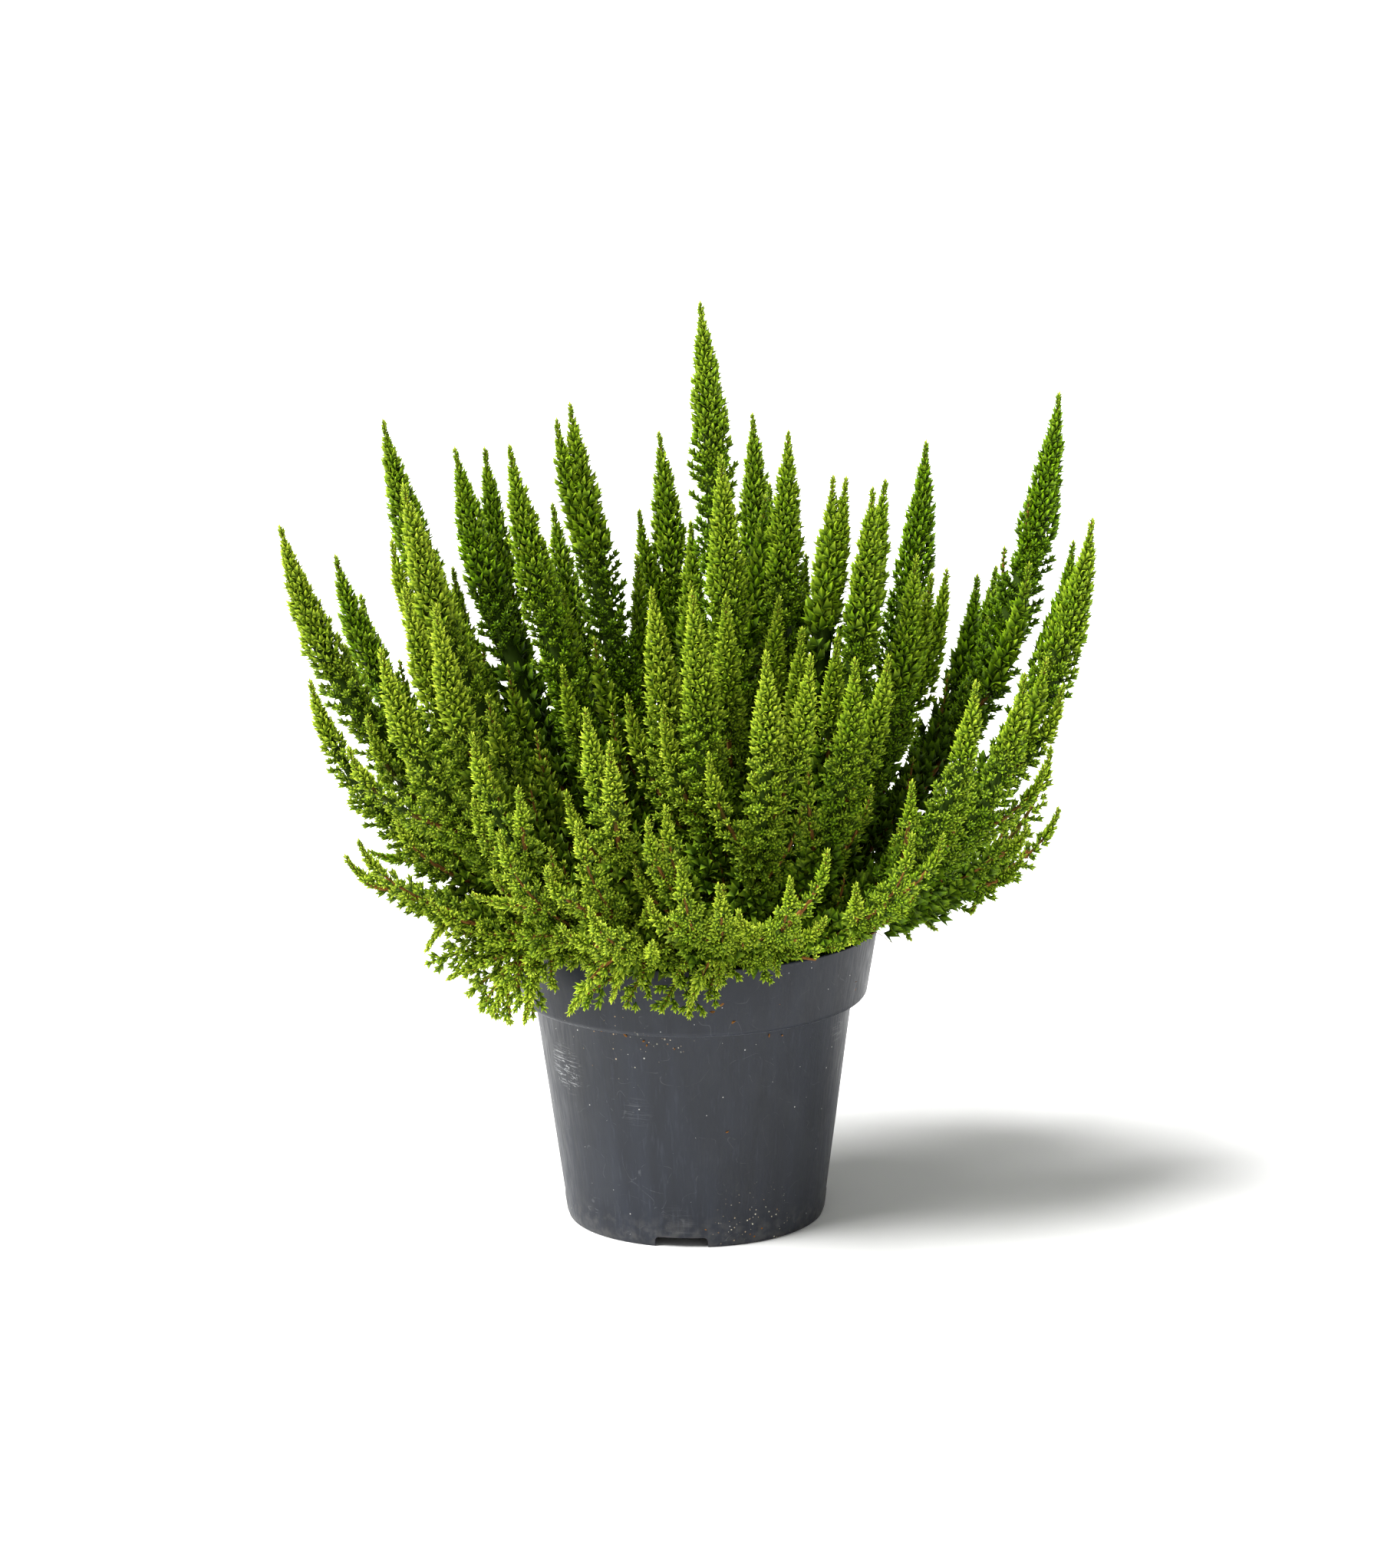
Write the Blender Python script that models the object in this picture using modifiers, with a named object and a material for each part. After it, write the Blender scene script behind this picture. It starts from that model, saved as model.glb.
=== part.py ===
"""Potted heather in leaf: a nursery pot, its soil, the woody stems and the leafy shoots.

Blender 4.5, in metres, +Z up. The origin lies on the ground, on the pot's axis; -Y is the front.
"""

import math
import random

import bmesh
import bpy
import numpy as np
from mathutils import Matrix, Vector

MM = 0.001
GAP = 0.0003
SEED = 7

# Pot
POT_HEIGHT = 0.182
RIM_RADIUS = 0.113
COLLAR_BOTTOM = 0.1387
COLLAR_BOTTOM_RADIUS = 0.1064
COLLAR_ROUNDING = 0.0038
BODY_TOP_RADIUS = 0.0972
FOOT_RADIUS = 0.0786
WALL = 0.0018
FOOT_WALL = 0.0026
FLOOR_RISE = 0.008
POT_STEPS = 40

# Notches in the foot and drain holes in the floor
NOTCH_COUNT = 3
NOTCH_WIDTH = 0.032
NOTCH_HEIGHT = 0.0065
NOTCH_ROUNDING = 0.0025
NOTCH_DEPTH = 0.0208
NOTCH_AZIMUTH = math.radians(-96.7)
DRAIN_COUNT = 6
DRAIN_RADIUS = 0.006
DRAIN_RING = 0.052
DRAIN_AZIMUTH = math.radians(21)

# Soil and root crown
SOIL_TOP = 0.160
SOIL_ROUGHNESS = 0.0015
CROWN_PLACE = (0.018, 0.0)
CROWN_RADIUS = 0.020
CROWN_BOTTOM = 0.118
CROWN_TOP = 0.170

# Woody stems
STEM_START_SHARE = 0.07
STEM_START_HEIGHT = 0.168
STEM_BASE_RADIUS = 0.0024
STEM_END_RADIUS = 0.0014
STEM_POINTS = 5

# Leafy shoots
PATH_SAMPLES = 61
MAIN_WIDEST = 0.0155
SIDE_WIDEST = 0.0120
SPIKE_TAPER = 3.1
CORE_SHARE = 0.50
THINNEST_CORE = 0.0009
LEAFY_SHARE = 0.74
LONGEST_LEAFY = 0.200
FIRST_RING = 0.006
RING_STEP = 0.0180
RING_GROWTH = 0.0007
BRANCHLET_LIFT = 0.55
BRANCHLET_VARIATION = 0.10
LEAST_RAISE = 1.3
HIDDEN_SHARE = 0.6
FORK_RADIUS = 0.0022
FORK_MARGIN = 0.010
FORK_SPREAD = 0.10
MAIN_KEEPS = 0.70
WALL_MARGIN = 0.0020

# Shoots whose tips the photograph shows, in millimetres: across, away from the viewer, up.
# Each row is a main shoot's tip, then its side shoots as (share of the main shoot's path, tip).
SEEN_SHOOTS = (
    # Left
    ((-244, -10, 434), ()),
    ((-217, 70, 401), ((0.55, (-204, 110, 369)),)),
    ((-225, -60, 350), ()),
    ((-185, 60, 486), ()),
    ((-168, -40, 463), ((0.66, (-176, -30, 428)),)),
    ((-158, 20, 422), ()),
    ((-166, -90, 410), ((0.55, (-147, -110, 404)),)),
    ((-141, 50, 470), ((0.60, (-124, 80, 465)),)),
    ((-107, 20, 476), ()),
    ((-179, -120, 380), ((0.55, (-198, -130, 325)),)),
    # Middle
    ((-85, 150, 418), ((0.72, (-91, 132, 400)),)),
    ((-71, 60, 495), ((0.80, (-79, 56, 486)),)),
    ((-17, 110, 469), ((0.66, (-30, 100, 422)), (0.50, (2, 68, 420)))),
    ((9, 20, 561), ()),
    ((20, -30, 476), ((0.45, (22, -62, 398)),)),
    ((41, 120, 478), ((0.55, (51, 84, 440)),)),
    ((61, 10, 484), ((0.50, (72, 38, 404)),)),
    ((-22, -72, 405), ()),
    ((2, -110, 410), ()),
    # Right
    ((87, -10, 460), ((0.78, (95, -10, 459)),)),
    ((110, -30, 456), ((0.72, (118, -14, 458)),)),
    ((146, 60, 469), ()),
    ((136, -20, 413), ((0.55, (156, 10, 399)), (0.72, (146, -8, 400)))),
    ((178, 70, 384), ((0.62, (190, 88, 386)),)),
    ((226, 45, 500), ((0.76, (207, 36, 437)), (0.66, (193, 48, 405)))),
    ((241, -20, 434), ((0.52, (233, 22, 413)), (0.46, (222, -44, 338)))),
    ((195, -110, 359), ((0.55, (208, -92, 300)),)),
    ((165, -140, 361), ()),
    ((44, -140, 380), ((0.55, (70, -132, 376)),)),
    ((96, -120, 371), ((0.58, (116, -102, 369)),)),
    # Front, low
    ((-60, -170, 354), ((0.60, (-46, -184, 337)),)),
    ((-126, -150, 336), ((0.60, (-99, -162, 307)),)),
    ((-66, -172, 288), ((0.52, (-84, -172, 262)),)),
    ((-15, -172, 297), ((0.62, (-25, -178, 291)),)),
    ((-7, -196, 270), ()),
    ((15, -190, 255), ((0.40, (14, -146, 178)), (0.45, (-4, -148, 166)))),
    ((56, -188, 258), ((0.60, (78, -172, 270)), (0.42, (50, -140, 184)))),
    ((-59, -198, 244), ((0.46, (-48, -150, 172)), (0.50, (-74, -146, 164)))),
    ((-111, -158, 280), ((0.60, (-128, -136, 238)),)),
    ((127, -160, 276), ((0.60, (146, -138, 270)), (0.45, (92, -128, 200)))),
    # Sides, low
    ((-207, -60, 243), ((0.62, (-189, -38, 229)),)),
    ((-196, -100, 262), ((0.50, (-160, -74, 184)),)),
    ((221, -30, 260), ((0.56, (168, -24, 190)),)),
    ((214, -58, 304), ((0.58, (198, -84, 262)),)),
)

# Shoots that hang over the rim, in millimetres: tip, height of the curve's crest, side shoots
HANGING_SHOOTS = (
    ((-120, -100, 150), 238, ((0.66, (-148, -78, 168)), (0.62, (-100, -116, 150)))),
    ((134, 8, 166), 238, ((0.66, (150, -6, 176)),)),
)

# Shoots of the back, which the photograph hides, in rows: count, first and last azimuth in
# degrees, distance out and height. Their two side shoots: fork, distance inward and drop.
BACK_ROWS = (
    (5, 44, 146, 188, 358),
    (5, 14, 164, 202, 280),
)
BACK_SIDE_TURN = 8.0
BACK_SIDES = ((0.55, 14, 34), (0.47, 2, 54))
BACK_SPREAD = 5

# How upright a shoot's upper part is, and how long that part is
TIP_DRIFT = (-0.05, 0.0, 0.0)
TIP_LEAN = 0.05
TIP_LEAN_PER_METRE = 0.45
UPRIGHT_SHARE = 0.74
LOW_UPRIGHT_SHARE = 0.78
LOW_TIP = 0.300
SIDE_UPRIGHT_SHARE = 0.55
SIDE_LEAN = 0.10
CREST_SHARE = 0.75
HANGING_BOW = 0.3
RIM_CLEARANCE = 0.021


# Scene


def clear_scene():
    for item in list(bpy.data.objects):
        bpy.data.objects.remove(item)


def new_collection(name):
    collection = bpy.data.collections.new(name)
    bpy.context.scene.collection.children.link(collection)
    return collection


def new_material(name, color, roughness):
    material = bpy.data.materials.new(name)
    material.use_nodes = True
    shader = material.node_tree.nodes["Principled BSDF"]
    shader.inputs["Base Color"].default_value = (*color, 1.0)
    shader.inputs["Roughness"].default_value = roughness
    shader.inputs["Metallic"].default_value = 0.0
    return material


def object_from_bmesh(name, bm, collection):
    mesh = bpy.data.meshes.new(name)
    bm.to_mesh(mesh)
    bm.free()
    item = bpy.data.objects.new(name, mesh)
    collection.objects.link(item)
    return item


def bake_modifiers(item):
    """Turns the object's evaluated shape into its mesh."""
    graph = bpy.context.evaluated_depsgraph_get()
    mesh = bpy.data.meshes.new_from_object(item.evaluated_get(graph))
    item.modifiers.clear()
    item.data = mesh


def keep_largest_piece(mesh):
    """Drops the loose scraps and sealed hollows that a union can leave."""
    bm = bmesh.new()
    bm.from_mesh(mesh)
    left = set(bm.faces)
    pieces = []
    while left:
        piece = {left.pop()}
        newest = list(piece)
        while newest:
            face = newest.pop()
            near = {other for edge in face.edges for other in edge.link_faces} & left
            left -= near
            piece |= near
            newest += near
        pieces.append(piece)
    largest = max(pieces, key=len)
    scraps = [face for piece in pieces if piece is not largest for face in piece]
    bmesh.ops.delete(bm, geom=scraps, context="FACES")
    bm.to_mesh(mesh)
    bm.free()


def join_by_union(item, helpers):
    """Joins the shapes of a collection to an object and removes them."""
    joint = item.modifiers.new("Union", "BOOLEAN")
    joint.operation = "UNION"
    joint.operand_type = "COLLECTION"
    joint.collection = helpers
    joint.solver = "MANIFOLD"
    bake_modifiers(item)
    keep_largest_piece(item.data)
    for helper in list(helpers.objects):
        bpy.data.objects.remove(helper)


# Turned shapes


def turned(name, profile, collection):
    """A profile of (radius, height) points turned round the Z axis."""
    mesh = bpy.data.meshes.new(name)
    points = [(radius, 0.0, height) for radius, height in profile]
    edges = [(i, i + 1) for i in range(len(points) - 1)]
    mesh.from_pydata(points, edges, [])
    item = bpy.data.objects.new(name, mesh)
    collection.objects.link(item)
    screw = item.modifiers.new("Turn", "SCREW")
    screw.axis = "Z"
    screw.angle = math.tau
    screw.steps = POT_STEPS
    screw.render_steps = POT_STEPS
    screw.use_merge_vertices = True
    screw.merge_threshold = 0.00001
    return item


def body_radius(height):
    """Outer radius of the pot below its collar."""
    return FOOT_RADIUS + (BODY_TOP_RADIUS - FOOT_RADIUS) * height / COLLAR_BOTTOM


def collar_radius(height):
    share = (height - COLLAR_BOTTOM - COLLAR_ROUNDING) / (POT_HEIGHT - COLLAR_BOTTOM - COLLAR_ROUNDING)
    return COLLAR_BOTTOM_RADIUS + (RIM_RADIUS - COLLAR_BOTTOM_RADIUS) * share


def inner_radius(height):
    """Inner radius of the pot above its floor."""
    if height > COLLAR_BOTTOM + WALL + COLLAR_ROUNDING:
        return collar_radius(height) - WALL
    return body_radius(height) - WALL


def pot_profile():
    floor_top = FLOOR_RISE + WALL
    shelf = COLLAR_BOTTOM + WALL
    inside = [
        (0.0, floor_top),
        (body_radius(floor_top) - WALL, floor_top),
        (body_radius(shelf) - WALL, shelf),
        (COLLAR_BOTTOM_RADIUS - WALL - COLLAR_ROUNDING, shelf),
        (COLLAR_BOTTOM_RADIUS - WALL, shelf + COLLAR_ROUNDING),
        (RIM_RADIUS - WALL, POT_HEIGHT),
    ]
    outside = [
        (RIM_RADIUS, POT_HEIGHT),
        (COLLAR_BOTTOM_RADIUS, COLLAR_BOTTOM + COLLAR_ROUNDING),
        (COLLAR_BOTTOM_RADIUS - 0.3 * COLLAR_ROUNDING, COLLAR_BOTTOM + 0.3 * COLLAR_ROUNDING),
        (COLLAR_BOTTOM_RADIUS - COLLAR_ROUNDING, COLLAR_BOTTOM),
        (BODY_TOP_RADIUS, COLLAR_BOTTOM),
        (FOOT_RADIUS, 0.0),
        (FOOT_RADIUS - FOOT_WALL, 0.0),
        (FOOT_RADIUS - FOOT_WALL, FLOOR_RISE),
        (0.0, FLOOR_RISE),
    ]
    return inside + outside


def notch_cutter(azimuth, collection):
    """A block with rounded edges that cuts one notch in the foot."""
    bm = bmesh.new()
    bmesh.ops.create_cube(bm, size=1.0)
    bmesh.ops.scale(bm, vec=(NOTCH_DEPTH, NOTCH_WIDTH, 2 * NOTCH_HEIGHT), verts=bm.verts)
    cutter = object_from_bmesh("notch_cutter", bm, collection)
    cutter.location = (FOOT_RADIUS * math.cos(azimuth), FOOT_RADIUS * math.sin(azimuth), 0.0)
    cutter.rotation_euler = (0.0, 0.0, azimuth)
    rounding = cutter.modifiers.new("Rounding", "BEVEL")
    rounding.width = NOTCH_ROUNDING
    rounding.segments = 2
    return cutter


def drain_cutter(azimuth, collection):
    bm = bmesh.new()
    bmesh.ops.create_cone(
        bm, cap_ends=True, segments=8, radius1=DRAIN_RADIUS, radius2=DRAIN_RADIUS, depth=4 * WALL
    )
    cutter = object_from_bmesh("drain_cutter", bm, collection)
    cutter.location = (
        DRAIN_RING * math.cos(azimuth),
        DRAIN_RING * math.sin(azimuth),
        FLOOR_RISE + WALL / 2,
    )
    return cutter


def cut(item, cutter):
    cutter.hide_render = True
    cutter.display_type = "WIRE"
    step = item.modifiers.new("Cut", "BOOLEAN")
    step.operation = "DIFFERENCE"
    step.object = cutter


def make_pot(collection, cutters, material):
    pot = turned("pot", pot_profile(), collection)
    for i in range(NOTCH_COUNT):
        cut(pot, notch_cutter(NOTCH_AZIMUTH + i * math.tau / NOTCH_COUNT, cutters))
    for i in range(DRAIN_COUNT):
        cut(pot, drain_cutter(DRAIN_AZIMUTH + i * math.tau / DRAIN_COUNT, cutters))
    bpy.context.view_layer.update()
    bake_modifiers(pot)
    pot.data.materials.append(material)
    pot.data.shade_smooth()
    pot.data.set_sharp_from_angle(angle=math.radians(35))
    return pot


def crown_hole_cutter(collection):
    bm = bmesh.new()
    hole = CROWN_RADIUS + 2 * GAP
    depth = 2 * (SOIL_TOP - CROWN_BOTTOM) + 2 * GAP
    bmesh.ops.create_cone(bm, cap_ends=True, segments=16, radius1=hole, radius2=hole, depth=depth)
    cutter = object_from_bmesh("crown_hole_cutter", bm, collection)
    cutter.location = (*CROWN_PLACE, SOIL_TOP)
    return cutter


def make_soil(collection, cutters, material):
    """Soil that fills the pot, with the plain hole in which the root crown stands."""
    bottom = FLOOR_RISE + WALL + GAP
    shelf = COLLAR_BOTTOM + WALL + GAP
    ledge = COLLAR_BOTTOM_RADIUS - WALL - COLLAR_ROUNDING - GAP
    profile = [
        (0.0, SOIL_TOP),
        (0.045, SOIL_TOP),
        (0.078, SOIL_TOP),
        (inner_radius(SOIL_TOP - 0.003) - 2 * GAP, SOIL_TOP - 0.003),
        (ledge, shelf),
        (body_radius(shelf) - WALL - GAP, shelf),
        (body_radius(bottom) - WALL - GAP, bottom),
        (0.0, bottom),
    ]
    soil = turned("soil", profile, collection)
    bake_modifiers(soil)
    roughness = random.Random(SEED)
    for vertex in soil.data.vertices:
        if vertex.co.z > SOIL_TOP - 0.001:
            vertex.co.z += roughness.uniform(-SOIL_ROUGHNESS, SOIL_ROUGHNESS)
    cut(soil, crown_hole_cutter(cutters))
    bpy.context.view_layer.update()
    bake_modifiers(soil)
    soil.data.materials.append(material)
    return soil


# Paths of the shoots


def curve(start, control, tip):
    """Samples of the curve that leaves start towards control and ends at tip."""
    t = np.linspace(0.0, 1.0, PATH_SAMPLES)[:, None]
    return (1 - t) ** 2 * start + 2 * t * (1 - t) * control + t**2 * tip


class Shoot:
    """One shoot: its path from start to tip, and the leafy radius wanted along it."""

    def __init__(self, node, points, widest, parent=None):
        self.node = node
        self.parent = parent
        self.points = points
        steps = np.linalg.norm(np.diff(points, axis=0), axis=1)
        self.to_tip = np.concatenate([np.cumsum(steps[::-1])[::-1], [0.0]])
        self.length = self.to_tip[0]
        self.radius = widest * (1 - np.exp(-self.to_tip / (SPIKE_TAPER * widest)))
        self.leafy_length = self.length if parent else min(LEAFY_SHARE * self.length, LONGEST_LEAFY)

    def at(self, distance):
        """Point at this distance from the tip, measured along the path."""
        return np.array([np.interp(distance, self.to_tip[::-1], self.points[::-1, i]) for i in range(3)])

    def radius_at(self, distance):
        return np.interp(distance, self.to_tip[::-1], self.radius[::-1])


def outward(tip):
    """Level direction from the root crown to below the tip."""
    flat = np.array([tip[0] - CROWN_PLACE[0], tip[1] - CROWN_PLACE[1], 0.0])
    return flat / max(np.linalg.norm(flat), 0.001)


def stem_start(tip):
    """Where the stem that leads to this tip leaves the root crown."""
    centre = np.array(CROWN_PLACE)
    start = centre + STEM_START_SHARE * (tip[:2] - centre)
    return np.array([*start, STEM_START_HEIGHT])


def main_path(tip):
    """From the root crown out and then up to the tip."""
    out = math.hypot(tip[0], tip[1])
    start = stem_start(tip)
    share = LOW_UPRIGHT_SHARE if tip[2] < LOW_TIP else UPRIGHT_SHARE
    upright = share * (tip[2] - start[2])
    lean = TIP_LEAN + TIP_LEAN_PER_METRE * out
    control = tip - upright * (lean * outward(tip) + np.array([0.0, 0.0, 1.0]) + TIP_DRIFT)
    control[2] = max(control[2], POT_HEIGHT + RIM_CLEARANCE)
    return curve(start, control, tip)


def hanging_path(tip, crest):
    """From the root crown over the rim and down outside it."""
    start = stem_start(tip)
    control = np.array([CREST_SHARE * tip[0], CREST_SHARE * tip[1], crest])
    return curve(start, control, tip)


def side_path(fork, tip):
    """From a fork on a main shoot to the side shoot's own tip."""
    rise = tip[2] - fork[2]
    upright = SIDE_UPRIGHT_SHARE * max(rise, 0.0)
    control = tip - upright * (SIDE_LEAN * outward(tip) + np.array([0.0, 0.0, 1.0]))
    if rise < 0:
        control = 0.5 * (fork + tip) + np.array([0.0, 0.0, HANGING_BOW * abs(rise)])
    return curve(fork, control, tip)


def back_shoots():
    """Main and side tips of the rows at the back."""
    spread = random.Random(SEED)
    rows = []
    for count, first, last, out, height in BACK_ROWS:
        for i in range(count):
            azimuth = first + (last - first) * i / (count - 1)
            turn = BACK_SIDE_TURN if i % 2 else -BACK_SIDE_TURN
            radius = out + spread.uniform(-BACK_SPREAD, BACK_SPREAD)
            top = height + spread.uniform(-BACK_SPREAD, BACK_SPREAD)
            sides = []
            for fork, inward, drop in BACK_SIDES:
                sides.append((fork, at_azimuth(azimuth + turn, radius - inward, top - drop)))
                turn = -turn
            rows.append((at_azimuth(azimuth, radius, top), sides))
    return rows


def at_azimuth(azimuth, radius, height):
    angle = math.radians(azimuth)
    return (radius * math.cos(angle), radius * math.sin(angle), height)


def side_shoots(main, sides):
    """The side shoots that fork from a main shoot, which is leafy from below its lowest fork."""
    found = []
    for share, tip in sides:
        sample = round(share * (PATH_SAMPLES - 1))
        main.leafy_length = max(main.leafy_length, main.to_tip[sample] + FORK_MARGIN)
        path = side_path(main.points[sample], np.array(tip) * MM)
        found.append(Shoot(main.node, path, SIDE_WIDEST, parent=main))
    return found


def all_shoots():
    """Every shoot, each main shoot followed by its side shoots."""
    shoots = []
    node = 0
    for tip, sides in (*SEEN_SHOOTS, *back_shoots()):
        node += 1
        main = Shoot(node, main_path(np.array(tip) * MM), MAIN_WIDEST)
        shoots.append(main)
        shoots += side_shoots(main, sides)
    for tip, crest, sides in HANGING_SHOOTS:
        node += 1
        path = hanging_path(np.array(tip) * MM, crest * MM)
        main = Shoot(node, path, SIDE_WIDEST)
        shoots.append(main)
        shoots += side_shoots(main, sides)
    return shoots


# Room between neighbours


def distance_to_wall(points):
    """Distance of points to the pot's collar and to the soil."""
    out = np.hypot(points[:, 0], points[:, 1])
    flat = np.stack([out, points[:, 2]], axis=1)
    low = np.array([COLLAR_BOTTOM_RADIUS - WALL / 2, COLLAR_BOTTOM])
    top = np.array([RIM_RADIUS - WALL / 2, POT_HEIGHT])
    along = top - low
    share = np.clip((flat - low) @ along / (along @ along), 0.0, 1.0)
    wall = np.linalg.norm(flat - low - share[:, None] * along, axis=1) - WALL / 2
    soil = np.where(out < RIM_RADIUS, points[:, 2] - SOIL_TOP - SOIL_ROUGHNESS, 1.0)
    return np.minimum(wall, soil)


def own_floor(shoot, wanted):
    """Radius that a shoot keeps beside the shoots of its own node, with which it is joined."""
    if not shoot.parent:
        return MAIN_KEEPS * wanted
    past_fork = shoot.length - shoot.to_tip
    return np.minimum(wanted, FORK_RADIUS + FORK_SPREAD * past_fork)


def share_room(shoots):
    """Narrows each shoot so that it stays clear of its neighbours, the pot and the soil."""
    wanted = [shoot.radius.copy() for shoot in shoots]
    for i, shoot in enumerate(shoots):
        room = distance_to_wall(shoot.points) - WALL_MARGIN
        for j, other in enumerate(shoots):
            if i == j:
                continue
            apart = np.linalg.norm(shoot.points[:, None] - other.points[None], axis=2)
            leafy = other.to_tip < other.leafy_length + RING_STEP
            share = wanted[i][:, None] / (wanted[i][:, None] + wanted[j][None] + GAP / 3)
            half = (apart - 3 * GAP) * share
            beside_stem = apart - STEM_BASE_RADIUS - 3 * GAP
            free = np.where(leafy[None], half, beside_stem).min(axis=1)
            if other.node == shoot.node:
                free = np.maximum(free, own_floor(shoot, wanted[i]))
            room = np.minimum(room, free)
        shoot.room = room
    for shoot in shoots:
        shoot.radius = np.minimum(shoot.radius, shoot.room)


# Leafy shoots


def turning_frames(points):
    """Two directions across the path at each sample, carried along it without twist."""
    along = np.gradient(points, axis=0)
    along /= np.linalg.norm(along, axis=1)[:, None]
    first = np.cross(along[0], (0.0, 1.0, 0.0))
    if np.linalg.norm(first) < 0.2:
        first = np.cross(along[0], (1.0, 0.0, 0.0))
    across = []
    for direction in along:
        first = first - direction * (first @ direction)
        first /= np.linalg.norm(first)
        across.append(first)
    across = np.array(across)
    return along, across, np.cross(along, across)


def ring_distances(leafy_length):
    """Distances from the tip of the rings of a spike's core, growing towards its foot."""
    found = [FIRST_RING]
    while found[-1] < leafy_length:
        k = len(found)
        found.append(found[-1] + RING_STEP + 2 * RING_GROWTH * k)
    scale = leafy_length / found[-1] if len(found) > 2 else 1.0
    return [distance * scale for distance in found][::-1]


def spike_bmesh(shoot, variation):
    """A slim three-sided core, whose every face is raised to the tip of a branchlet."""
    _, across, over = turning_frames(shoot.points)

    def place(distance, angle, radius):
        side = np.array([np.interp(distance, shoot.to_tip[::-1], across[::-1, i]) for i in range(3)])
        other = np.array([np.interp(distance, shoot.to_tip[::-1], over[::-1, i]) for i in range(3)])
        return Vector(shoot.at(distance) + radius * (math.cos(angle) * side + math.sin(angle) * other))

    def core_radius(distance):
        return max(CORE_SHARE * shoot.radius_at(distance), THINNEST_CORE)

    bm = bmesh.new()
    distances = ring_distances(shoot.leafy_length)
    turn = math.radians(60)
    rings = []
    for k, distance in enumerate(distances):
        angles = [k * turn + i * 2 * turn for i in range(3)]
        rings.append([bm.verts.new(place(distance, a, core_radius(distance))) for a in angles])
    for k in range(len(rings) - 1):
        low, high = rings[k], rings[k + 1]
        step = distances[k] - distances[k + 1]
        for i in range(3):
            j = (i + 1) % 3
            angle = k * turn + i * 2 * turn
            faces = (
                ((low[i], low[j], high[i]), angle + turn, distances[k] - step / 3),
                ((high[i], low[j], high[j]), angle + 2 * turn, distances[k] - 2 * step / 3),
            )
            for corners, facing, centre in faces:
                tip_at = max(centre - BRANCHLET_LIFT * step, 0.5 * FIRST_RING)
                reach = shoot.radius_at(tip_at) * (1 - variation.uniform(0, BRANCHLET_VARIATION))
                if hidden_in_parent(shoot, centre) or reach < LEAST_RAISE * core_radius(centre):
                    bm.faces.new(corners)
                    continue
                tip = bm.verts.new(place(tip_at, facing, reach))
                for a, b in ((0, 1), (1, 2), (2, 0)):
                    bm.faces.new((corners[a], corners[b], tip))
    end = bm.verts.new(shoot.points[-1])
    for i in range(3):
        bm.faces.new((rings[-1][i], rings[-1][(i + 1) % 3], end))
    bm.faces.new(rings[0][::-1])
    return bm


def hidden_in_parent(shoot, distance):
    if not shoot.parent:
        return False
    return shoot.length - distance < HIDDEN_SHARE * MAIN_WIDEST


def make_shoot_node(name, group, collection, material):
    """A main shoot and its side shoots as one body."""
    variation = random.Random(SEED + group[0].node)
    main = object_from_bmesh(name, spike_bmesh(group[0], variation), collection)
    if len(group) > 1:
        helpers = new_collection("side shoots")
        for side in group[1:]:
            object_from_bmesh("side_shoot", spike_bmesh(side, variation), helpers)
        join_by_union(main, helpers)
        bpy.data.collections.remove(helpers)
    main.data.materials.append(material)
    return main


# Woody stems


def stem_curve(shoot, collection):
    """The woody part of a main shoot's path as a tapering tube."""
    ends = np.linspace(shoot.length, shoot.leafy_length + GAP, STEM_POINTS)
    data = bpy.data.curves.new("stem", "CURVE")
    data.dimensions = "3D"
    data.bevel_depth = 1.0
    data.bevel_resolution = 0
    data.use_fill_caps = True
    spline = data.splines.new("POLY")
    spline.points.add(STEM_POINTS - 1)
    for i, distance in enumerate(ends):
        spline.points[i].co = (*shoot.at(distance), 1.0)
        taper = i / (STEM_POINTS - 1)
        spline.points[i].radius = STEM_BASE_RADIUS + (STEM_END_RADIUS - STEM_BASE_RADIUS) * taper
    item = bpy.data.objects.new("stem", data)
    collection.objects.link(item)
    return item


def curve_to_mesh(item, collection):
    graph = bpy.context.evaluated_depsgraph_get()
    mesh = bpy.data.meshes.new_from_object(item.evaluated_get(graph))
    bm = bmesh.new()
    bm.from_mesh(mesh)
    bmesh.ops.remove_doubles(bm, verts=bm.verts, dist=0.00001)
    solid = object_from_bmesh("stem", bm, collection)
    solid.matrix_world = item.matrix_world
    bpy.data.objects.remove(item)
    return solid


def make_woody_stems(shoots, collection, material):
    """The root crown in the soil, with a stem that leads from it to each main shoot."""
    profile = [
        (0.0, CROWN_TOP + 0.004),
        (0.6 * CROWN_RADIUS, CROWN_TOP + 0.002),
        (CROWN_RADIUS, CROWN_TOP - 0.006),
        (CROWN_RADIUS - 0.002, CROWN_BOTTOM + 0.012),
        (0.4 * CROWN_RADIUS, CROWN_BOTTOM + GAP),
        (0.0, CROWN_BOTTOM + GAP),
    ]
    crown = turned("woody_stems", profile, collection)
    crown.modifiers["Turn"].steps = 10
    crown.modifiers["Turn"].render_steps = 10
    bake_modifiers(crown)
    crown.data.transform(Matrix.Translation((*CROWN_PLACE, 0.0)))
    helpers = new_collection("stems")
    for shoot in shoots:
        if not shoot.parent:
            curve_to_mesh(stem_curve(shoot, helpers), helpers)
    join_by_union(crown, helpers)
    bpy.data.collections.remove(helpers)
    crown.data.materials.append(material)
    return crown


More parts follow.
